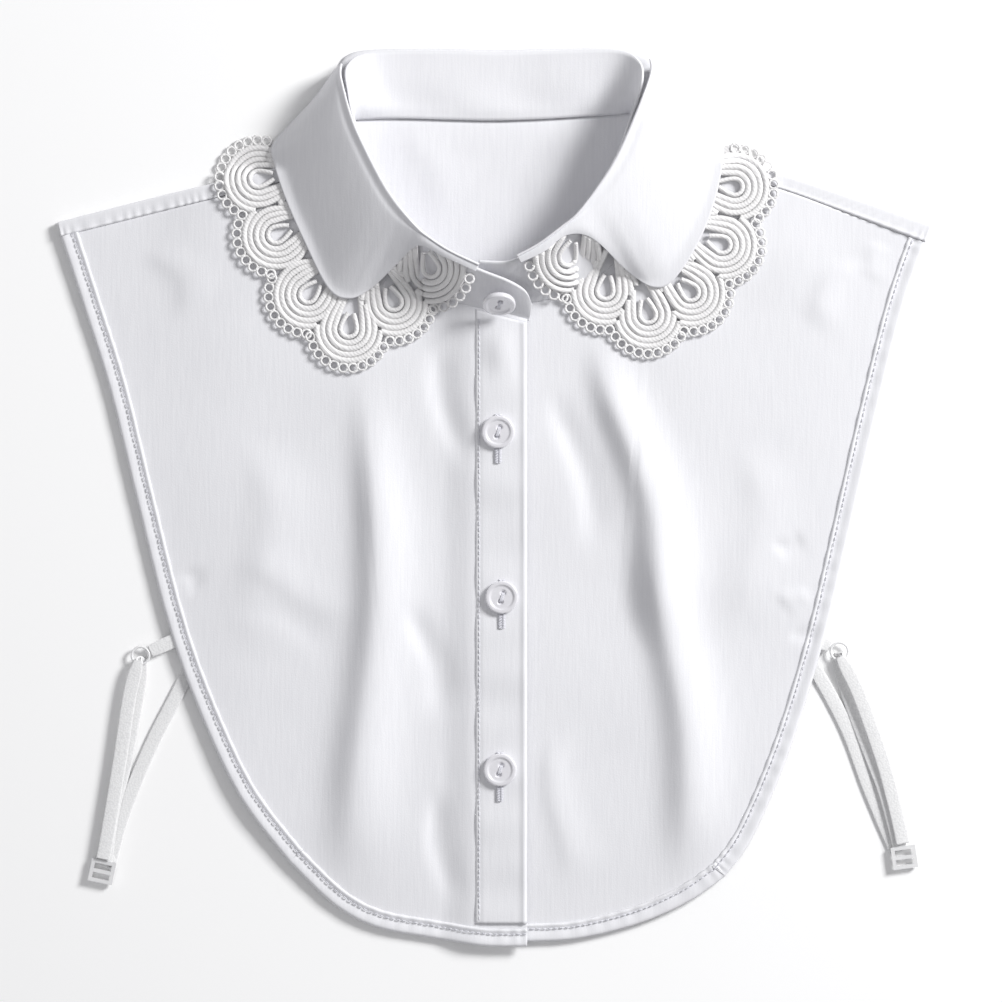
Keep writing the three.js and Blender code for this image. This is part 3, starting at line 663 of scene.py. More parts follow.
# Folds and creases: ends x0, y0, x1, y1, half-width, rise (troughs are negative).
FOLDS = [
    [-46, 40, -51, -150, 17, 5.0], [42, 58, 69, -54, 15, 4.6], [60, -6, 76, -146, 16, 4.6],
    [-24, 58, -12, 10, 8, -1.2], [-98, -26, -52, -43, 13, 0.7], [-100, -40, -58, -54, 12, -0.45],
    [116, -14, 108, -22, 6, -0.9], [117, -34, 110, -42, 7, 0.8], [113, -50, 122, -56, 5, -0.8],
    [-118, -28, -112, -36, 6, -0.9], [138, 90, 118, 68, 10, 1.4], [148, 96, 140, 84, 8, 1.2],
    [-128, 96, -112, 70, 12, 1.0], [24, 40, 40, -20, 9, -1.3], [-30, -40, -20, -84, 9, -1.2],
    [-24, -112, -16, -158, 8, -1.2], [22, -90, 28, -150, 10, 0.9], [-90, 20, -84, -60, 20, 1.2],
    [98, 20, 100, -50, 18, 1.0],
]
BACK_FOLDS = [[-30, 140, -18, 108, 10, 0.8], [28, 140, 16, 104, 12, 0.9]]

# Lace scallops: middle x, y and the direction they point in (degrees), from the centre front.
RIGHT_SCALLOPS = [
    [-23.8, 86.4, 288], [-38.2, 74, 292], [-55.3, 63.8, 262], [-70.8, 76.8, 226],
    [-82.8, 99.4, 206], [-89.6, 120.6, 190],
]
LEFT_SCALLOPS = [
    [27.6, 90.6, 250], [42, 78.2, 262], [58.2, 69.2, 284], [74.4, 77.6, 316],
    [86.4, 95.6, 336], [91, 117.6, 350],
]


def fold_height(x: Array, y: Array, folds: Sequence[Sequence[float]]) -> Array:
    """Sum of soft ridges: each is its rise times a bell of the distance to its line, faded at its ends.

    Args:
        x: across, in mm.
        y: towards the collar, in mm.
        folds: rows of x0, y0, x1, y1, half-width, rise.

    Returns:
        Height of all folds in mm.
    """
    total = np.zeros_like(x)
    for x0, y0, x1, y1, reach, rise in folds:
        dx, dy = x1 - x0, y1 - y0
        length = np.hypot(dx, dy)
        along = ((x - x0) * dx + (y - y0) * dy) / length**2
        side = ((x - x0) * dy - (y - y0) * dx) / length
        side = side + reach * 0.2 * np.sin(along * 6.1 + x0 * 0.7)
        width = reach * (0.46 + 0.26 * np.clip(along, 0, 1)) * np.where(side > 0, 0.78, 1.2)
        ends = smooth(-0.06, 0.26, along) * smooth(1.06, 0.72, along)
        total = total + rise * ends * np.exp(-((side / width) ** 2))
    return total


def hidden_lift(x: Array, y: Array) -> Array:
    """Lift of the back panel over the hidden part of the collar."""
    return 1.3 * smooth(68, 98, y) * smooth(136, 106, np.abs(x))


def ripple(x: Array, y: Array) -> Array:
    """Small unevenness of laid cloth: three crossed sine waves of unlike lengths."""
    return (0.16 * np.sin(x / 9.3 + 0.4 * np.sin(y / 23)) + 0.12 * np.sin(y / 13.1 + x / 31)
            + 0.1 * np.sin((x + 2 * y) / 19.7))


@dataclass
class FrontHeights:
    """Height of the fronts' face side: base lift, overlap step and folds, low at the hems."""

    base: float = 3.4
    step: float = 1.8
    under_edge: float = -6.4
    slope: float = 14.0

    def plain(self, x: Array, y: Array) -> Array:
        """Height without the overlap.

        Args:
            x: across, in mm.
            y: towards the collar, in mm.

        Returns:
            Height in mm.
        """
        low = 1 + hidden_lift(x, y)
        middle = smooth(-170, -120, y) * smooth(150 + y * 0.1, 90, np.abs(x))
        return low + 1.4 + (self.base - 2.4) * middle + fold_height(x, y, FOLDS) * (0.25 + 0.75 * middle) \
            + ripple(x, y) * (0.4 + 0.6 * middle)

    def right(self, x: Array, y: Array) -> Array:
        """Height of the right front, which climbs onto the left one."""
        return self.plain(x, y) + self.step * smooth(self.under_edge - self.slope, self.under_edge - 1, x)

    def top(self, x: Array, y: Array) -> Array:
        """Height of whichever front is uppermost."""
        return np.where(x < 13, self.right(x, y), self.plain(x, y))

    def ground(self, x: Array, y: Array) -> Array:
        """Height of what the collar lies on: fronts and flaps, or the table past the shoulders.

        Args:
            x: across, in mm.
            y: towards the collar, in mm.

        Returns:
            Height in mm.
        """
        shoulder = np.where(x < 0, 104.4 + 0.249 * (x + 165.8), 103.6 + 0.328 * (165.8 - x))
        inside = smooth(5, -3, y - shoulder)
        return 0.3 + (self.top(x, y) + 0.5) * inside


# ------------------------------------------------------------------ sub-assemblies
@dataclass
class Panels:
    """Back panel with its shoulder flaps, both fronts with their hems, and the placket."""

    finishes: Finishes
    heights: FrontHeights = field(default_factory=FrontHeights)
    wall: float = 0.45
    hem_width: float = 7.0
    stitch_pitch: float = 2.2
    flap_wall: float = 0.4
    bottom_share: float = 0.34  # of the hem's parameter that the bottom edge takes
    neck_share: float = 0.4  # of the top edge's parameter that the neck takes

    def front(self, side: Side) -> list[bpy.types.Object]:
        """One front: a Coons patch of its outline, raised to the cloth's height, and its hem.

        Args:
            side: the wearer's side.

        Returns:
            The cloth, its hem and the hem's stitches.
        """
        right = side is Side.RIGHT
        outer_bottom = through(RIGHT_BOTTOM if right else LEFT_BOTTOM)
        outer_side = through(RIGHT_SIDE if right else LEFT_SIDE)
        seam = through((RIGHT_FORWARD_SEAM if right else LEFT_FORWARD_SEAM)[::-1])
        rows = [row[:2] for row in (STAND[0:8] if right else STAND[24:18:-1])]
        neck = offset(through(rows), -0.9 if right else 0.9)
        centre_x = 12.4 if right else -6.4
        top = joined(neck, seam, self.neck_share)
        ends = outer_bottom(np.zeros(1))[0], top(np.zeros(1))[0]

        def centre(t: Array) -> Array:
            """Straight front edge.

            Args:
                t: parameters from 0 to 1.

            Returns:
                (..., 3) points in mm.
            """
            a, b = ends[0] * [0, 1, 1] + [centre_x, 0, 0], ends[1] * [0, 1, 1] + [centre_x, 0, 0]
            return a + (b - a) * np.asarray(t)[..., None]

        def fitted(curve: Curve, start: Array, end: Array) -> Curve:
            """The curve with its ends moved onto the corners.

            Args:
                curve: the curve.
                start: its new first point.
                end: its new last point.

            Returns:
                The fitted curve.
            """
            a, b = start - curve(np.zeros(1))[0], end - curve(np.ones(1))[0]
            return lambda t: (curve(t) + a * (1 - np.asarray(t)[..., None]) ** 4
                              + b * np.asarray(t)[..., None] ** 4)

        lowest, highest = centre(np.zeros(1))[0], centre(np.ones(1))[0]
        tip = outer_side(np.ones(1))[0]
        u, v = grid(120, 190)
        flat = coons(u, v, fitted(outer_bottom, lowest, outer_side(np.zeros(1))[0]),
                     fitted(top, highest, tip), centre, outer_side)
        height = self.heights.right if right else self.heights.plain
        flat[..., 2] = height(flat[..., 0], flat[..., 1])
        panel = cloth_shell(f"front_{side.value}_cloth", flat, self.wall, self.finishes.cloth)
        return [panel, *self.hem(side, outer_bottom, outer_side, height)]

    def hem(self, side: Side, bottom: Curve, edge: Curve, height: Height) -> list[bpy.types.Object]:
        """Turned hem: a band with a rolled outer edge and a raised inner line, and its stitches.

        Args:
            side: the wearer's side.
            bottom: bottom edge of the front.
            edge: side edge of the front.
            height: height of the cloth.

        Returns:
            The band and its stitches.
        """
        turn = -1 if side is Side.RIGHT else 1
        t = np.linspace(0, 1, 420)
        across = np.linspace(0, 1, 12)
        lines = []
        for share in across:
            line = joined(offset(bottom, turn * self.hem_width * share),
                          offset(edge, turn * self.hem_width * share), self.bottom_share)(t)
            swell = (0.5 * np.sin(np.pi * np.clip(share * 1.6 + 0.1, 0, 1) ** 0.7)
                     + 0.55 * (share > 0.8) * (share < 0.99))
            pucker = 0.12 * np.sin(t * 260 + 3 * np.sin(t * 37))
            drop = -0.35 if share in (0.0, 1.0) else 0.0
            line[:, 2] = height(line[:, 0], line[:, 1]) + 0.2 + swell + pucker * (0.3 + share) + drop
            lines.append(line)
        band = cloth_shell(f"hem_{side.value}", np.stack(lines, 1), self.wall, self.finishes.cloth)
        inner = joined(offset(bottom, turn * (self.hem_width - 2.2)),
                       offset(edge, turn * (self.hem_width - 2.2)), self.bottom_share)(t)
        inner[:, 2] = height(inner[:, 0], inner[:, 1]) + 0.75
        points, faces = stitch_row(inner, self.stitch_pitch, 1.5, 0.22)
        return [band, make_mesh(f"hem_stitches_{side.value}", points, faces, self.finishes.thread)]

    def back(self) -> list[bpy.types.Object]:
        """Back panel: the lower sheet inside the neck, and both flaps folded over the shoulders.

        Returns:
            The panel, then both flaps.
        """
        u, v = grid(150, 60)
        right = np.array(RIGHT_SIDE)
        left = np.array(LEFT_SIDE)
        inset = np.array([2.0, 0.0])
        right_edge = through(np.vstack([right[:-1] + inset, RIGHT_SHOULDER[0]]))
        left_edge = through(np.vstack([left[:-1] - inset, LEFT_SHOULDER[0]]))
        bottom = through([[-76, -138.4], [-40, -160.5], [4, -167], [50, -160.4], [85.5, -144]])
        neck = offset(through([row[:2] for row in STAND[8:19]]), 1.3)
        top = joined(through(RIGHT_SHOULDER), joined(neck, through(LEFT_SHOULDER[::-1]), 0.5), 1 / 3)
        flat = coons(u, v, bottom, top, right_edge, left_edge)
        x, y = flat[..., 0], flat[..., 1]
        under_stand = smooth(0.97, 1.0, v) * smooth(62, 55, np.abs(x))
        flat[..., 2] = (1 + hidden_lift(x, y) + fold_height(x, y, BACK_FOLDS) * smooth(90, 104, y)
                        - 1.1 * under_stand)
        sheet = cloth_shell("back_cloth", flat, self.wall, self.finishes.cloth)
        pieces = [sheet]
        for side, shoulder, seam in ((Side.RIGHT, RIGHT_SHOULDER, RIGHT_FORWARD_SEAM),
                                     (Side.LEFT, LEFT_SHOULDER, LEFT_FORWARD_SEAM)):
            pieces += self.flap(side, through(shoulder), through(seam))
        return pieces

    def flap(self, side: Side, edge: Curve, seam: Curve) -> list[bpy.types.Object]:
        """Shoulder flap: from below, round the shoulder's edge and forward to the seam.

        Args:
            side: the wearer's side.
            edge: the shoulder's folded edge.
            seam: the seam in front of it.

        Returns:
            The flap.
        """
        t = np.linspace(0, 1, 160)
        outer, inner = edge(t), seam(t)
        lift = hidden_lift(outer[:, 0], outer[:, 1])
        across = inner - outer
        lines = []
        for angle in np.linspace(-90, 90, 9):
            line = outer + across * 0.16 * (1 - np.cos(np.radians(angle)))
            line[:, 2] = 2.1 + lift + 1.1 * np.sin(np.radians(angle))
            lines.append(line)
        for share in np.linspace(0.3, 1, 9):
            line = outer + across * share
            pucker = 0.22 * np.sin(t * 150 + 2 * np.sin(t * 23)) * share**2
            sunk = -0.7 if share == 1 else 0.35 * np.exp(-((share - 0.9) / 0.08) ** 2)
            line[:, 2] = 3.2 + lift + pucker + sunk
            lines.append(line)
        flap = cloth_shell(f"shoulder_flap_{side.value}", np.stack(lines, 1), self.flap_wall,
                           self.finishes.cloth)
        return [flap]

    def placket(self) -> list[bpy.types.Object]:
        """Button band on the right front, with its folded edges and one row of stitches.

        Returns:
            The band and its stitches.
        """
        low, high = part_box("placket")
        u, v = grid(24, 220)
        x = (low[0] + (high[0] - low[0]) * u) / MM
        left, right = low[0] / MM, high[0] / MM
        top = 71.2 - (x - left) * 0.26
        y = low[1] / MM + (top - low[1] / MM) * v
        roll = 0.55 * np.exp(-((u - 0.95) / 0.05) ** 2) - 0.75 * (u > 0.99) - 0.75 * (u < 0.01)
        channel = -0.3 * np.exp(-(((x - left) - 1.6) / 0.7) ** 2)
        wave = 0.14 * np.sin(y / 5.3 + u * 2) + 0.12 * np.sin(y / 2.9)
        pouch = 1.6 * np.exp(-(((y - 54) / 9) ** 2) - ((u - 0.5) / 0.3) ** 2)
        z = self.heights.right(x, y) + 0.7 + roll + channel + wave + pouch
        band = cloth_shell("placket_cloth", np.stack([x, y, z], -1), self.wall, self.finishes.cloth)
        line_y = np.linspace(low[1] / MM + 1, 69, 400)
        line_x = np.full_like(line_y, left + 1.6)
        line = np.stack([line_x, line_y, self.heights.right(line_x, line_y) + 0.75], 1)
        points, faces = stitch_row(line, self.stitch_pitch, 1.5, 0.2)
        return [band, make_mesh("placket_stitches", points, faces, self.finishes.thread)]


@dataclass
class Collar:
    """Stand and leaf of the collar, lofted through their tables of sections."""

    finishes: Finishes
    heights: FrontHeights = field(default_factory=FrontHeights)
    stand_wall: float = 0.9
    leaf_wall: float = 0.8
    leaf_clear: float = 2.3  # mm from what lies below to the leaf's face side

    def stand(self) -> list[bpy.types.Object]:
        """Stand: ruled between the neck seam and the fold, bowed out a little, with stitches.

        Returns:
            The stand and its stitches.
        """
        table = np.array(STAND)
        neck, fold = through(table[:, :3]), through(table[:, 3:])
        u, v = grid(20, 320)
        a, b = neck(v), fold(v)
        surface = a + (b - a) * u[..., None]
        tangent = np.gradient(a + (b - a) * 0.5, axis=0)
        outward = np.cross(tangent, b - a)
        outward /= np.linalg.norm(outward, axis=-1, keepdims=True)
        dent = (0.5 * np.sin(v * 61 + np.sin(u * 3) * 2) * np.sin(np.pi * u)
                * smooth(0.36, 0.42, v) * smooth(0.66, 0.6, v))
        surface = surface + outward * (dent + 0.45 * smooth(0, 0.15, u))[..., None]
        piece = cloth_shell("stand_cloth", surface, self.stand_wall, self.finishes.cloth, (0, 0, 1))
        t = np.linspace(0.33, 0.67, 300)
        rows = []
        for share, rise in ((0.06, 0.6), (0.94, 0.86)):
            line = neck(t) + (fold(t) - neck(t)) * share
            line[:, 2] += rise
            rows.append(stitch_row(line, 1.9, 1.3, 0.2))
        points, faces = merge(rows)
        return [piece, make_mesh("stand_stitches", points, faces, self.finishes.thread)]

    def leaf_surface(self, rows: Sequence[Sequence[float]], across: int, along: int) -> Array:
        """Leaf of one side: from the fold it rolls over and falls to its edge, z by a power of u.

        Args:
            rows: sections, each the fold's point and the edge's.
            across: points from fold to edge.
            along: points along the fold.

        Returns:
            The grid of points.
        """
        table = np.array(rows)
        fold, edge = through(table[:, :3]), through(table[:, 3:])
        u, v = grid(across, along)
        a, b = fold(v), edge(v)
        surface = a + (b - a) * u[..., None]
        surface[..., 2] = a[..., 2] + (b[..., 2] - a[..., 2]) * u**1.25
        return surface

    def leaf(self, side: Side) -> bpy.types.Object:
        """Visible leaf of one side, with the rolled rim along its fold.

        Args:
            side: the wearer's side.

        Returns:
            The leaf.
        """
        surface = self.leaf_surface(RIGHT_LEAF if side is Side.RIGHT else LEFT_LEAF, 60, 170)
        u = np.linspace(0, 1, 60)[None, :]
        surface[..., 2] += 0.5 + 0.5 * np.exp(-((u / 0.03) ** 2)) - 0.35 * np.exp(-(((u - 0.07) / 0.03) ** 2))
        bend = 0.35 * np.sin(np.linspace(0, 9, 170))[:, None] * np.sin(np.pi * u)
        surface[..., 2] += bend
        least = self.heights.ground(surface[..., 0], surface[..., 1]) + self.leaf_clear
        gap = surface[..., 2] - least
        surface[..., 2] = least + 0.5 * (gap + np.sqrt(gap**2 + 0.6))
        return cloth_shell(f"leaf_{side.value}", surface, self.leaf_wall, self.finishes.cloth)

    def hidden_leaf(self) -> bpy.types.Object:
        """Back of the leaf, flat below the stand, with the fold at its top edge.

        Returns:
            The back of the leaf.
        """
        u, v = grid(30, 200)
        top, edge = through(HIDDEN_TOP)(v), through(HIDDEN_EDGE)(v)
        surface = top + (edge - top) * u[..., None]
        surface[..., 2] = 0.95 - 0.5 * (u < 0.01)
        return cloth_shell("leaf_back", surface, self.leaf_wall, self.finishes.cloth)


@dataclass
class Lace:
    """Guipure lace edging: scallops of nested U cords round a drop-shaped hole, edged with rings."""

    finishes: Finishes
    heights: FrontHeights = field(default_factory=FrontHeights)
    hole: float = 3.1
    pitch: float = 2.25
    cords: int = 4
    ring_reach: float = 14.9
    ring_size: float = 1.7
    root: float = 15.0
    clear: float = 0.7  # mm above what it lies on
    fall: float = 1.02  # mm down for each mm away from the leaf's edge

    def outline(self, radius: float, direction: float) -> Array:
        """Drop shape round a scallop's middle: an arc of that radius with legs drawn to the root.

        Args:
            radius: of the arc, in mm.
            direction: where the scallop points, in degrees.

        Returns:
            (n, 2) points round the origin.
        """
        s = np.linspace(-1, 1, 121)
        arc = np.clip(s / 0.62, -1, 1) * np.radians(108)
        leg = np.clip((np.abs(s) - 0.62) / 0.38, 0, 1)
        x, y = radius * np.cos(arc), radius * np.sin(arc)
        reach = self.root if radius > self.hole + 0.1 else 6.0
        x = x + (-reach - x) * leg
        y = y + (np.sign(s) * radius * 0.34 - y) * leg**1.3
        turn = np.radians(direction)
        return np.stack([x * np.cos(turn) - y * np.sin(turn), x * np.sin(turn) + y * np.cos(turn)], 1)

    def drape(self, x: Array, y: Array, edge: Array) -> Array:
        """Height of the lace: on the fronts, or falling from the leaf's edge near the neck.

        Args:
            x: across, in mm.
            y: towards the collar, in mm.
            edge: points of the leaf's free edge.

        Returns:
            Height in mm.
        """
        gap = np.hypot(x[:, None] - edge[None, :, 0], y[:, None] - edge[None, :, 1])
        nearest = gap.argmin(1)
        away = gap[np.arange(len(x)), nearest]
        rest = self.heights.ground(x, y) + self.clear
        return np.maximum(rest, edge[nearest, 2] - 0.5 - away * self.fall)

    def side(self, side: Side) -> bpy.types.Object:
        """All cords and rings of one side as one mesh.

        A cord is kept only where its own scallop's middle is the nearest one, so that the cords
        of neighbours meet in nested points between them.

        Args:
            side: the wearer's side.

        Returns:
            The lace of that side.
        """
        rows = np.array(RIGHT_SCALLOPS if side is Side.RIGHT else LEFT_SCALLOPS)
        leaf = np.array(RIGHT_LEAF if side is Side.RIGHT else LEFT_LEAF)
        edge = through(leaf[:11, 3:])(np.linspace(0, 1, 300))
        fold = through(leaf[:, :3])(np.linspace(0, 1, 300))
        ahead = np.gradient(fold[:, :2], axis=0)
        ahead /= np.linalg.norm(ahead, axis=1, keepdims=True)
        outward = np.stack([-ahead[:, 1], ahead[:, 0]], 1) * (1 if side is Side.RIGHT else -1)
        centres = rows[:, :2]
        foot = fold[:75, :2] + outward[:75]
        footing = np.column_stack([foot, self.drape(foot[:, 0], foot[:, 1], edge)])
        parts = [tube(footing, 0.8, 0.6)]
        rings = []
        for k, (cx, cy, direction) in enumerate(rows):
            for n in range(self.cords + 1):
                radius = self.hole + n * self.pitch
                flat = self.outline(radius, direction) + [cx, cy]
                mask = self.own(flat, k, centres) & self.outside(flat, fold, outward)
                parts += self.kept(flat, mask, edge, 0.9 if n == 0 else 1.16, 0.6 if n % 2 else 0.85)
            angle = np.radians(direction + np.linspace(-112, 112, 17))
            rim = np.stack([cx + self.ring_reach * np.cos(angle), cy + self.ring_reach * np.sin(angle)], 1)
            rings.append(rim[self.own(rim, k, centres) & self.clear_of_leaf(rim, edge)
                             & self.outside(rim, fold, outward)])
        parts.append(self.chain(np.vstack(rings), edge))
        points, faces = merge(parts)
        return make_mesh(f"lace_{side.value}_cords", points, faces, self.finishes.lace)

    @staticmethod
    def own(points: Array, k: int, centres: Array) -> Array:
        """Which points lie nearest to scallop k's middle."""
        gap = np.hypot(points[:, None, 0] - centres[None, :, 0], points[:, None, 1] - centres[None, :, 1])
        return gap[:, k] <= gap.min(1) + 0.35

    @staticmethod
    def clear_of_leaf(points: Array, edge: Array) -> Array:
        """Which points lie well away from the leaf's edge."""
        gap = np.hypot(points[:, None, 0] - edge[None, :, 0], points[:, None, 1] - edge[None, :, 1])
        return gap.min(1) > 2.2

    @staticmethod
    def outside(points: Array, fold: Array, outward: Array) -> Array:
        """Which points lie on the outer side of the collar's fold, by a cord's half-width.

        Args:
            points: (n, 2) points.
            fold: points of the collar's fold.
            outward: unit vectors away from the neck at each of them.

        Returns:
            True where a point is outside.
        """
        gap = np.hypot(points[:, None, 0] - fold[None, :, 0], points[:, None, 1] - fold[None, :, 1])
        nearest = gap.argmin(1)
        return ((points - fold[nearest, :2]) * outward[nearest]).sum(1) > 1.1

    def kept(self, flat: Array, mask: Array, edge: Array, width: float, height: float) -> list:
        """Tubes along the stretches of an outline where the mask holds.

        Args:
            flat: (n, 2) points of the outline.
            mask: which of them to keep.
            edge: points of the leaf's free edge.
            width: half-width of the cord.
            height: half-height of the cord.

        Returns:
            Points and quads of each stretch.
        """
        bounds = np.flatnonzero(np.diff(np.concatenate([[0], mask.astype(int), [0]])))
        tubes = []
        for start, stop in zip(bounds[::2], bounds[1::2]):
            if stop - start < 4:
                continue
            x, y = flat[start:stop, 0], flat[start:stop, 1]
            z = self.drape(x, y, edge)
            tubes.append(tube(np.stack([x, y, z], 1), width, height, 6))
        return tubes

    def chain(self, middles: Array, edge: Array) -> tuple[Array, Array]:
        """Little thread rings at the given places, as one array of points and quads.

        Args:
            middles: (n, 2) middles of the rings.
            edge: points of the leaf's free edge.

        Returns:
            Points and quads.
        """
        around = np.linspace(0, 2 * np.pi, 12, endpoint=False)
        section = np.linspace(0, 2 * np.pi, 5, endpoint=False)
        reach = self.ring_size + 0.52 * np.cos(section)[None, :]
        shape = np.stack([reach * np.cos(around)[:, None], reach * np.sin(around)[:, None],
                          np.broadcast_to(0.5 * np.sin(section)[None, :], (12, 5))], -1)
        shape = np.concatenate([shape, shape[:1]]).reshape(-1, 3)
        z = self.drape(middles[:, 0], middles[:, 1], edge)
        places = np.column_stack([middles, z])
        east = np.tile([1.0, 0.0, 0.0], (len(places), 1))
        return copies(shape, quads(13, 5, wrap=True), places, east)


@dataclass
class Buttons:
    """Turned resin buttons with two holes, their threads and their worked buttonholes."""

    finishes: Finishes
    tall: float = 2.4
    hole: float = 0.95
    hole_gap: float = 1.7

    def disc(self, name: str, centre: Array, radius: float, tall: float, lean: float) -> bpy.types.Object:
        """Button: rings of points from the middle out over the rim and back below.

        The height is a shallow dish with a rounded rim, less a pit at each thread hole.

        Args:
            name: the piece's name.
            centre: middle of the top face in mm.
            radius: in mm.
            tall: thickness in mm.
            lean: tilt about x in radians.

        Returns:
            The button.
        """
        share = np.concatenate([np.linspace(0.01, 1, 26), [1.0, 0.97, 0.9, 0.01]])
        level = np.concatenate([np.zeros(26), [-0.5, -0.85, -1.0, -1.0]]) * tall
        angle = np.linspace(0, 2 * np.pi, 56, endpoint=False)
        r = share[:, None] * radius
        x, y = r * np.cos(angle), r * np.sin(angle)
        dish = -0.5 * (1 - smooth(0.66, 0.8, share)) - 0.3 * smooth(0.93, 1.0, share)
        z = (level + np.where(level < 0, 0, dish))[:, None] + 0 * x
        for way in (-1, 1):
            gap = np.hypot(x - way * self.hole_gap * 0.3, y - way * self.hole_gap)
            pit = np.exp(-((gap / self.hole) ** 4))
            z = z - 1.0 * pit * (level[:, None] == 0)
        points = np.stack([x, y, z], -1).reshape(-1, 3)
        cos, sin = np.cos(lean), np.sin(lean)
        turn = np.array([[1, 0, 0], [0, cos, -sin], [0, sin, cos]])
        points = points @ turn.T + centre
        return make_mesh(name, points, quads(len(share), 56, wrap=True), self.finishes.resin)

    def thread(self, name: str, centre: Array, lean: float) -> bpy.types.Object:
        """Crossing threads through the two holes.

        Args:
            name: the piece's name.
            centre: middle of the top face in mm.
            lean: tilt about x in radians.

        Returns:
            The threads.
        """
        t = np.linspace(-1, 1, 9)
        parts = []
        for shift in (-0.3, 0.05, 0.4):
            path = np.stack([t * 0.5 + shift, t * self.hole_gap, 0.35 * (1 - t**4) - 0.75], 1)
            cos, sin = np.cos(lean), np.sin(lean)
            turn = np.array([[1, 0, 0], [0, cos, -sin], [0, sin, cos]])
            parts.append(tube(path @ turn.T + centre, 0.24, 0.24, 6))
        points, faces = merge(parts)
        return make_mesh(name, points, faces, self.finishes.thread)

    def make(self, node: str, lean: float = 0.0) -> list[bpy.types.Object]:
        """The button at a CAD button's place, with its threads.

        Args:
            node: the CAD button.
            lean: tilt about x in radians.

        Returns:
            The disc and its threads.
        """
        low, high = (np.array(corner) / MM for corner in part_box(node))
        centre = (low + high) / 2
        radius = (high[0] - low[0]) / 2
        centre = centre + np.array([0, -np.sin(lean), np.cos(lean)]) * self.tall / 2
        return [self.disc(f"{node}_disc", centre, radius, self.tall, lean),
                self.thread(f"{node}_thread", centre, lean)]

    def holes(self, nodes: Sequence[str], heights: FrontHeights) -> bpy.types.Object:
        """Worked buttonholes: a dense zigzag on both sides of each upright slit.

        Args:
            nodes: the CAD buttons.
            heights: height of the cloth.

        Returns:
            All the buttonholes as one piece.
        """
        parts = []
        for node in nodes:
            low, high = (np.array(corner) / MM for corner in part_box(node))
            x0, y0 = (low[0] + high[0]) / 2, (low[1] + high[1]) / 2
            y = np.arange(y0 - 11.6, y0 + 6.8, 0.62)
            for way in (-1, 1):
                x = np.full_like(y, x0 + way * 0.62)
                z = heights.right(x, y) + 1.12
                along = np.stack([np.full_like(y, 1.0), 0.35 * way + 0 * y, 0 * y], 1)
                parts.append(copies(*stitch_shape(1.25, 0.26), np.stack([x, y, z], 1), along))
        points, faces = merge(parts)
        return make_mesh("buttonholes", points, faces, self.finishes.thread)


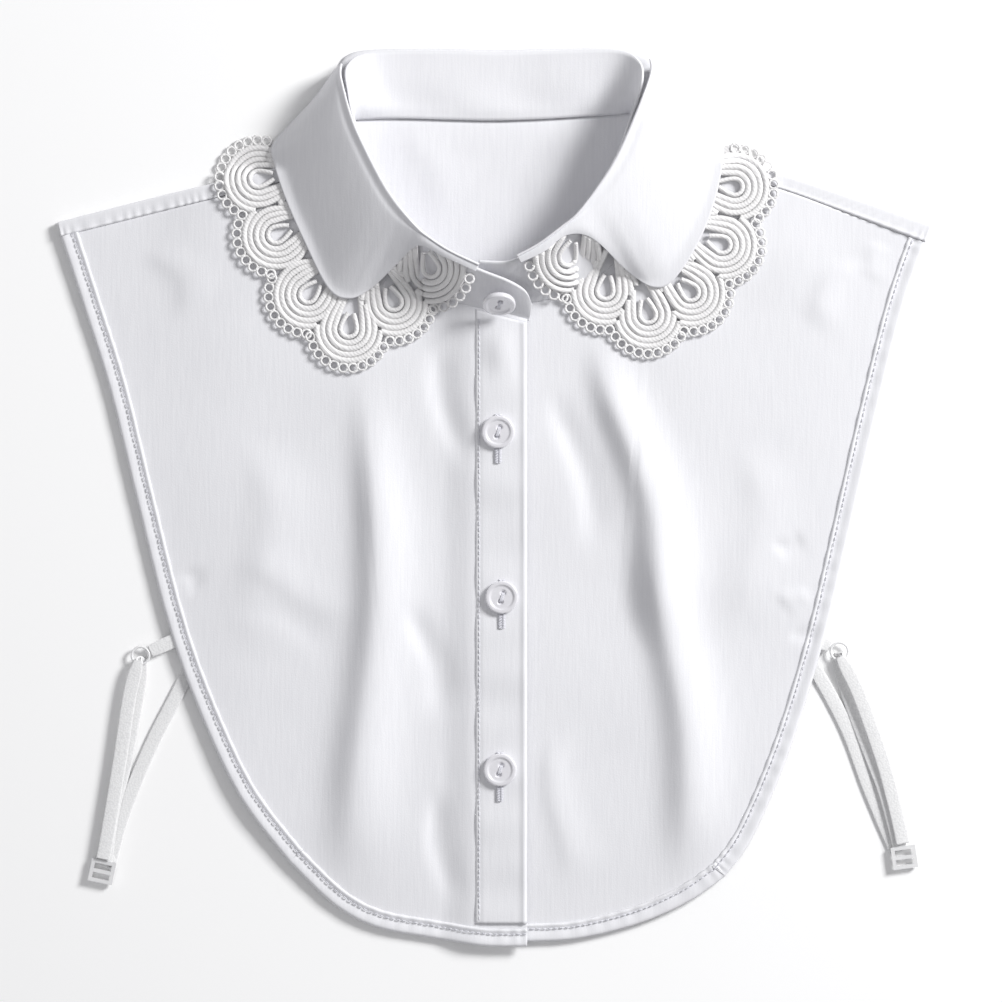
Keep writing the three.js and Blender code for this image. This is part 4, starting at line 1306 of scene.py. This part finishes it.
@dataclass
class SideStrap:
    """Elastic side strap: one flat band from the back panel to the slider, ring and slider."""

    side: Side
    finishes: Finishes
    lower: Sequence[Sequence[float]]
    rise: Sequence[Sequence[float]]
    fall: Sequence[Sequence[float]]
    tab: Sequence[Sequence[float]]
    width: float = 5.3
    wall: float = 0.8
    ring_radius: float = 3.3
    wire: float = 0.5

    def turn(self, below: Sequence[float], above: Sequence[float], towards: Array) -> list:
        """Half circle from one strand to the one above it, bulging towards a point.

        Args:
            below: end of the lower strand.
            above: start of the upper strand.
            towards: point that the turn bulges to.

        Returns:
            Points between the two strands.
        """
        below, above = np.array(below, float), np.array(above, float)
        radius = (above[2] - below[2]) / 2
        middle = (below + above) / 2
        way = np.append(towards[:2] - middle[:2], 0)
        way /= np.linalg.norm(way)
        angle = np.linspace(0, np.pi, 7)[1:-1]
        share = (angle / np.pi)[:, None]
        points = below + (above - below) * [1, 1, 0] * share + way * radius * np.sin(angle)[:, None]
        points[:, 2] = below[2] + radius * (1 - np.cos(angle))
        return points.tolist()

    def route(self) -> Array:
        """The strap's whole middle line, dense, in mm.

        Returns:
            (n, 3) points.
        """
        ring = np.mean(np.array(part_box(f"ring_{self.side.value}")), 0) / MM
        slider = np.mean(np.array(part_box(f"slider_{self.side.value}")), 0) / MM
        points = [*self.lower, *self.turn(self.lower[-1], self.rise[0], slider), *self.rise,
                  *self.turn(self.rise[-1], self.fall[0], ring), *self.fall]
        return through(points)(np.linspace(0, 1, 300))

    def band(self, path: Array, name: str) -> bpy.types.Object:
        """Flat band along a path: a rounded oblong section, narrower where it goes through the ring.

        Args:
            path: (n, 3) middle line in mm.
            name: the piece's name.

        Returns:
            The band.
        """
        ahead = np.gradient(path, axis=0)
        flat = np.stack([-ahead[:, 1], ahead[:, 0], 0 * ahead[:, 0]], 1)
        flat /= np.linalg.norm(flat, axis=1, keepdims=True) + 1e-9
        flips = np.sign((flat[1:] * flat[:-1]).sum(1))
        flat[1:] *= np.cumprod(np.where(flips == 0, 1, flips))[:, None]
        up = np.cross(ahead / np.linalg.norm(ahead, axis=1, keepdims=True), flat)
        ring = np.mean(np.array(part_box(f"ring_{self.side.value}")), 0)[:2] / MM
        near = np.exp(-((np.hypot(*(path[:, :2] - ring).T) / 4.6) ** 2))
        half = self.width / 2 * (1 - 0.45 * near)
        angle = np.linspace(0, 2 * np.pi, 16, endpoint=False)
        c, s = np.cos(angle), np.sin(angle)
        across = np.sign(c) * np.abs(c) ** 0.35
        over = np.sign(s) * np.abs(s) ** 0.6 * self.wall / 2
        points = (path[:, None] + across[None, :, None] * flat[:, None] * half[:, None, None]
                  + over[None, :, None] * up[:, None])
        cap = path[[0, -1]][:, None] + 0 * points[:2]
        points = np.concatenate([cap[:1], points, cap[1:]])
        return make_mesh(name, points.reshape(-1, 3), quads(len(points), 16, wrap=True),
                         self.finishes.elastic)

    def ring(self) -> bpy.types.Object:
        """Wire ring, a torus at the CAD ring's place.

        Returns:
            The ring.
        """
        low, high = (np.array(corner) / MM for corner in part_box(f"ring_{self.side.value}"))
        centre = (low + high) / 2
        around, section = np.meshgrid(np.linspace(0, 2 * np.pi, 49),
                                      np.linspace(0, 2 * np.pi, 10, endpoint=False), indexing="ij")
        reach = self.ring_radius + self.wire * np.cos(section)
        points = np.stack([reach * np.cos(around), reach * np.sin(around), self.wire * np.sin(section)], -1)
        return make_mesh(f"ring_{self.side.value}_wire", points.reshape(-1, 3) + centre,
                         quads(49, 10, wrap=True), self.finishes.clear)

    def make(self) -> list[bpy.types.Object]:
        """Returns:
            The strap, the ring and the tab.
        """
        route = self.route()
        strap = self.band(route, f"strap_{self.side.value}_band")
        ring = self.ring()
        tab_path = through(self.tab)(np.linspace(0, 1, 40))
        tab = self.band(tab_path, f"tab_{self.side.value}_band")
        name = self.side.value
        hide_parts(f"strap_{name}_lower", f"strap_{name}_loop")
        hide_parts(f"ring_{name}")
        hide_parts(f"tab_{name}")
        for piece, slot in ((strap, "elastic"), (ring, "clear_plastic"), (tab, "elastic")):
            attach(piece, BODY)
        return [strap, ring, tab]


@dataclass
class Studio:
    """White table, a key light from the upper right, soft fill and the camera straight above."""

    view_width: float = 380.8  # mm of the table that the frame shows
    middle: tuple[float, float] = (2.5, -1.5)
    distance: float = 2.4  # m
    sensor: float = 36.0
    floor: float = 6000.0  # mm along each side

    def camera(self) -> None:
        """Camera above the object, looking straight down."""
        data = bpy.data.cameras.new("camera")
        data.sensor_width = self.sensor
        data.lens = self.sensor * self.distance / (self.view_width * MM)
        data.clip_end = 20
        camera = bpy.data.objects.new("camera", data)
        camera.location = (self.middle[0] * MM, self.middle[1] * MM, self.distance)
        bpy.context.scene.collection.objects.link(camera)
        bpy.context.scene.camera = camera

    def light(self, name: str, place: tuple, size: float, watts: float, colour: str) -> None:
        """Square soft light that looks at the middle of the object.

        Args:
            name: the light's name.
            place: where it stands, in m.
            size: side of the square in m.
            watts: its power.
            colour: sRGB colour as #RRGGBB.
        """
        data = bpy.data.lights.new(name, "AREA")
        data.size = size
        data.energy = watts
        data.color = linear(colour)[:3]
        lamp = bpy.data.objects.new(name, data)
        lamp.location = place
        aim = -np.array(place)
        lamp.rotation_euler = Vector(aim.tolist()).to_track_quat("-Z", "Y").to_euler()
        bpy.context.scene.collection.objects.link(lamp)

    def make(self) -> None:
        """Floor, world and lights."""
        u, v = grid(2, 2)
        points = np.stack([(u - 0.5) * self.floor, (v - 0.5) * self.floor, 0 * u - 0.05], -1).reshape(-1, 3)
        floor = make_mesh("floor", points, quads(2, 2), TablePaper().make())
        floor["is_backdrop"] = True
        world = bpy.data.worlds.new("studio")
        bpy.context.scene.world = world
        world.use_nodes = True
        world.node_tree.nodes["Background"].inputs[0].default_value = linear("#F7F7F9")
        world.node_tree.nodes["Background"].inputs[1].default_value = 0.37
        self.light("key", (1.5, 0.95, 1.15), 0.6, 51, "#FFFFFF")
        self.light("fill", (-1.2, -0.6, 2.0), 1.6, 5.5, "#FAFAFD")
        bpy.context.scene.view_settings.view_transform = "Standard"


RIGHT_STRAP = {
    "tab": [[-121.4, -54.4, 2.1], [-130.6, -58.6, 2.1]],
    "lower": [
        [-115.4, -64.6, 0.6], [-120.6, -75, 0.6], [-130.6, -94.6, 0.6],
        [-141, -120, 0.6], [-145.8, -137.4, 0.6],
    ],
    "rise": [
        [-147.6, -137.4, 1.9], [-144.8, -118, 1.9], [-141, -104, 1.3],
        [-136.4, -80, 0.7], [-133.8, -63.4, 0.7],
    ],
    "fall": [
        [-135.4, -63.4, 3.6], [-138.6, -76, 3.3], [-142.2, -100, 3.2],
        [-147, -129, 3.2], [-148.6, -137.4, 3.2],
    ],
}
LEFT_STRAP = {
    "tab": [[123.6, -55, 2.1], [127.2, -56.8, 2.1]],
    "lower": [
        [116.6, -58.6, 0.6], [123.4, -68, 0.6], [134, -88, 0.6],
        [142.6, -111, 0.6], [151.2, -131.4, 0.6],
    ],
    "rise": [
        [153.6, -131.8, 1.9], [148.6, -113, 1.9], [143, -98, 1.3],
        [135.4, -78, 0.7], [130.6, -61.8, 0.7],
    ],
    "fall": [[131.8, -61.8, 3.6], [138, -74, 3.3], [147, -99, 3.2], [152.4, -119, 3.2], [155.2, -131.6, 3.2]],
}


def settle(pieces: Sequence[bpy.types.Object], nodes: Sequence[str] = ()) -> None:
    """Rides pieces on the body, and hides the CAD nodes that they replace.

    Args:
        pieces: pieces of one material.
        nodes: CAD nodes that the pieces replace, to hide.
    """
    for piece in pieces:
        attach(piece, BODY)
        LOG.info("piece %s: %d faces", piece.name, len(piece.data.polygons))
    if nodes:
        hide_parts(*nodes)


def dress(node: str, material: bpy.types.Material) -> None:
    """Gives a CAD node that stays a better material.

    Args:
        node: the CAD node.
        material: its new finish.
    """
    piece = bpy.data.objects[node]
    piece.data.materials.clear()
    piece.data.materials.append(material)


def main(cad_box: Sequence[Sequence[float]]) -> None:
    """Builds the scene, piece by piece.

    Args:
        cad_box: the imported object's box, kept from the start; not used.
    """
    logging.basicConfig(level=logging.INFO, format="%(message)s")
    studio = Studio()
    studio.camera()
    finishes = Finishes()
    SideStrap(Side.RIGHT, finishes, **RIGHT_STRAP).make()
    SideStrap(Side.LEFT, finishes, **LEFT_STRAP).make()
    for name in ("slider_right", "slider_left"):
        dress(name, finishes.clear)
    panels = Panels(finishes)
    back = panels.back()
    settle(back, ["back_panel"])
    fronts = {side: panels.front(side) for side in Side}
    settle(fronts[Side.RIGHT], ["front_right"])
    settle(fronts[Side.LEFT], ["front_left"])
    placket = panels.placket()
    settle(placket, ["placket"])
    collar = Collar(finishes)
    stand = collar.stand()
    settle(stand, ["collar_stand"])
    leaves = [collar.hidden_leaf(), collar.leaf(Side.RIGHT), collar.leaf(Side.LEFT)]
    settle(leaves, ["collar_leaf"])
    lace = Lace(finishes)
    edgings = [lace.side(side) for side in Side]
    for side, edging in zip(Side, edgings):
        settle([edging], [f"lace_{side.value}"])
    dress("lace_back", finishes.lace)
    buttons = Buttons(finishes)
    front_buttons = ["button_1", "button_2", "button_3"]
    for node in front_buttons:
        settle(buttons.make(node), [node])
    settle(buttons.make("button_stand", 0.95), ["button_stand"])
    settle([buttons.holes(front_buttons, panels.heights)])
    studio.make()


if __name__ == "__main__":
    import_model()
    main([list(map(float, corner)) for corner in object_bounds()])
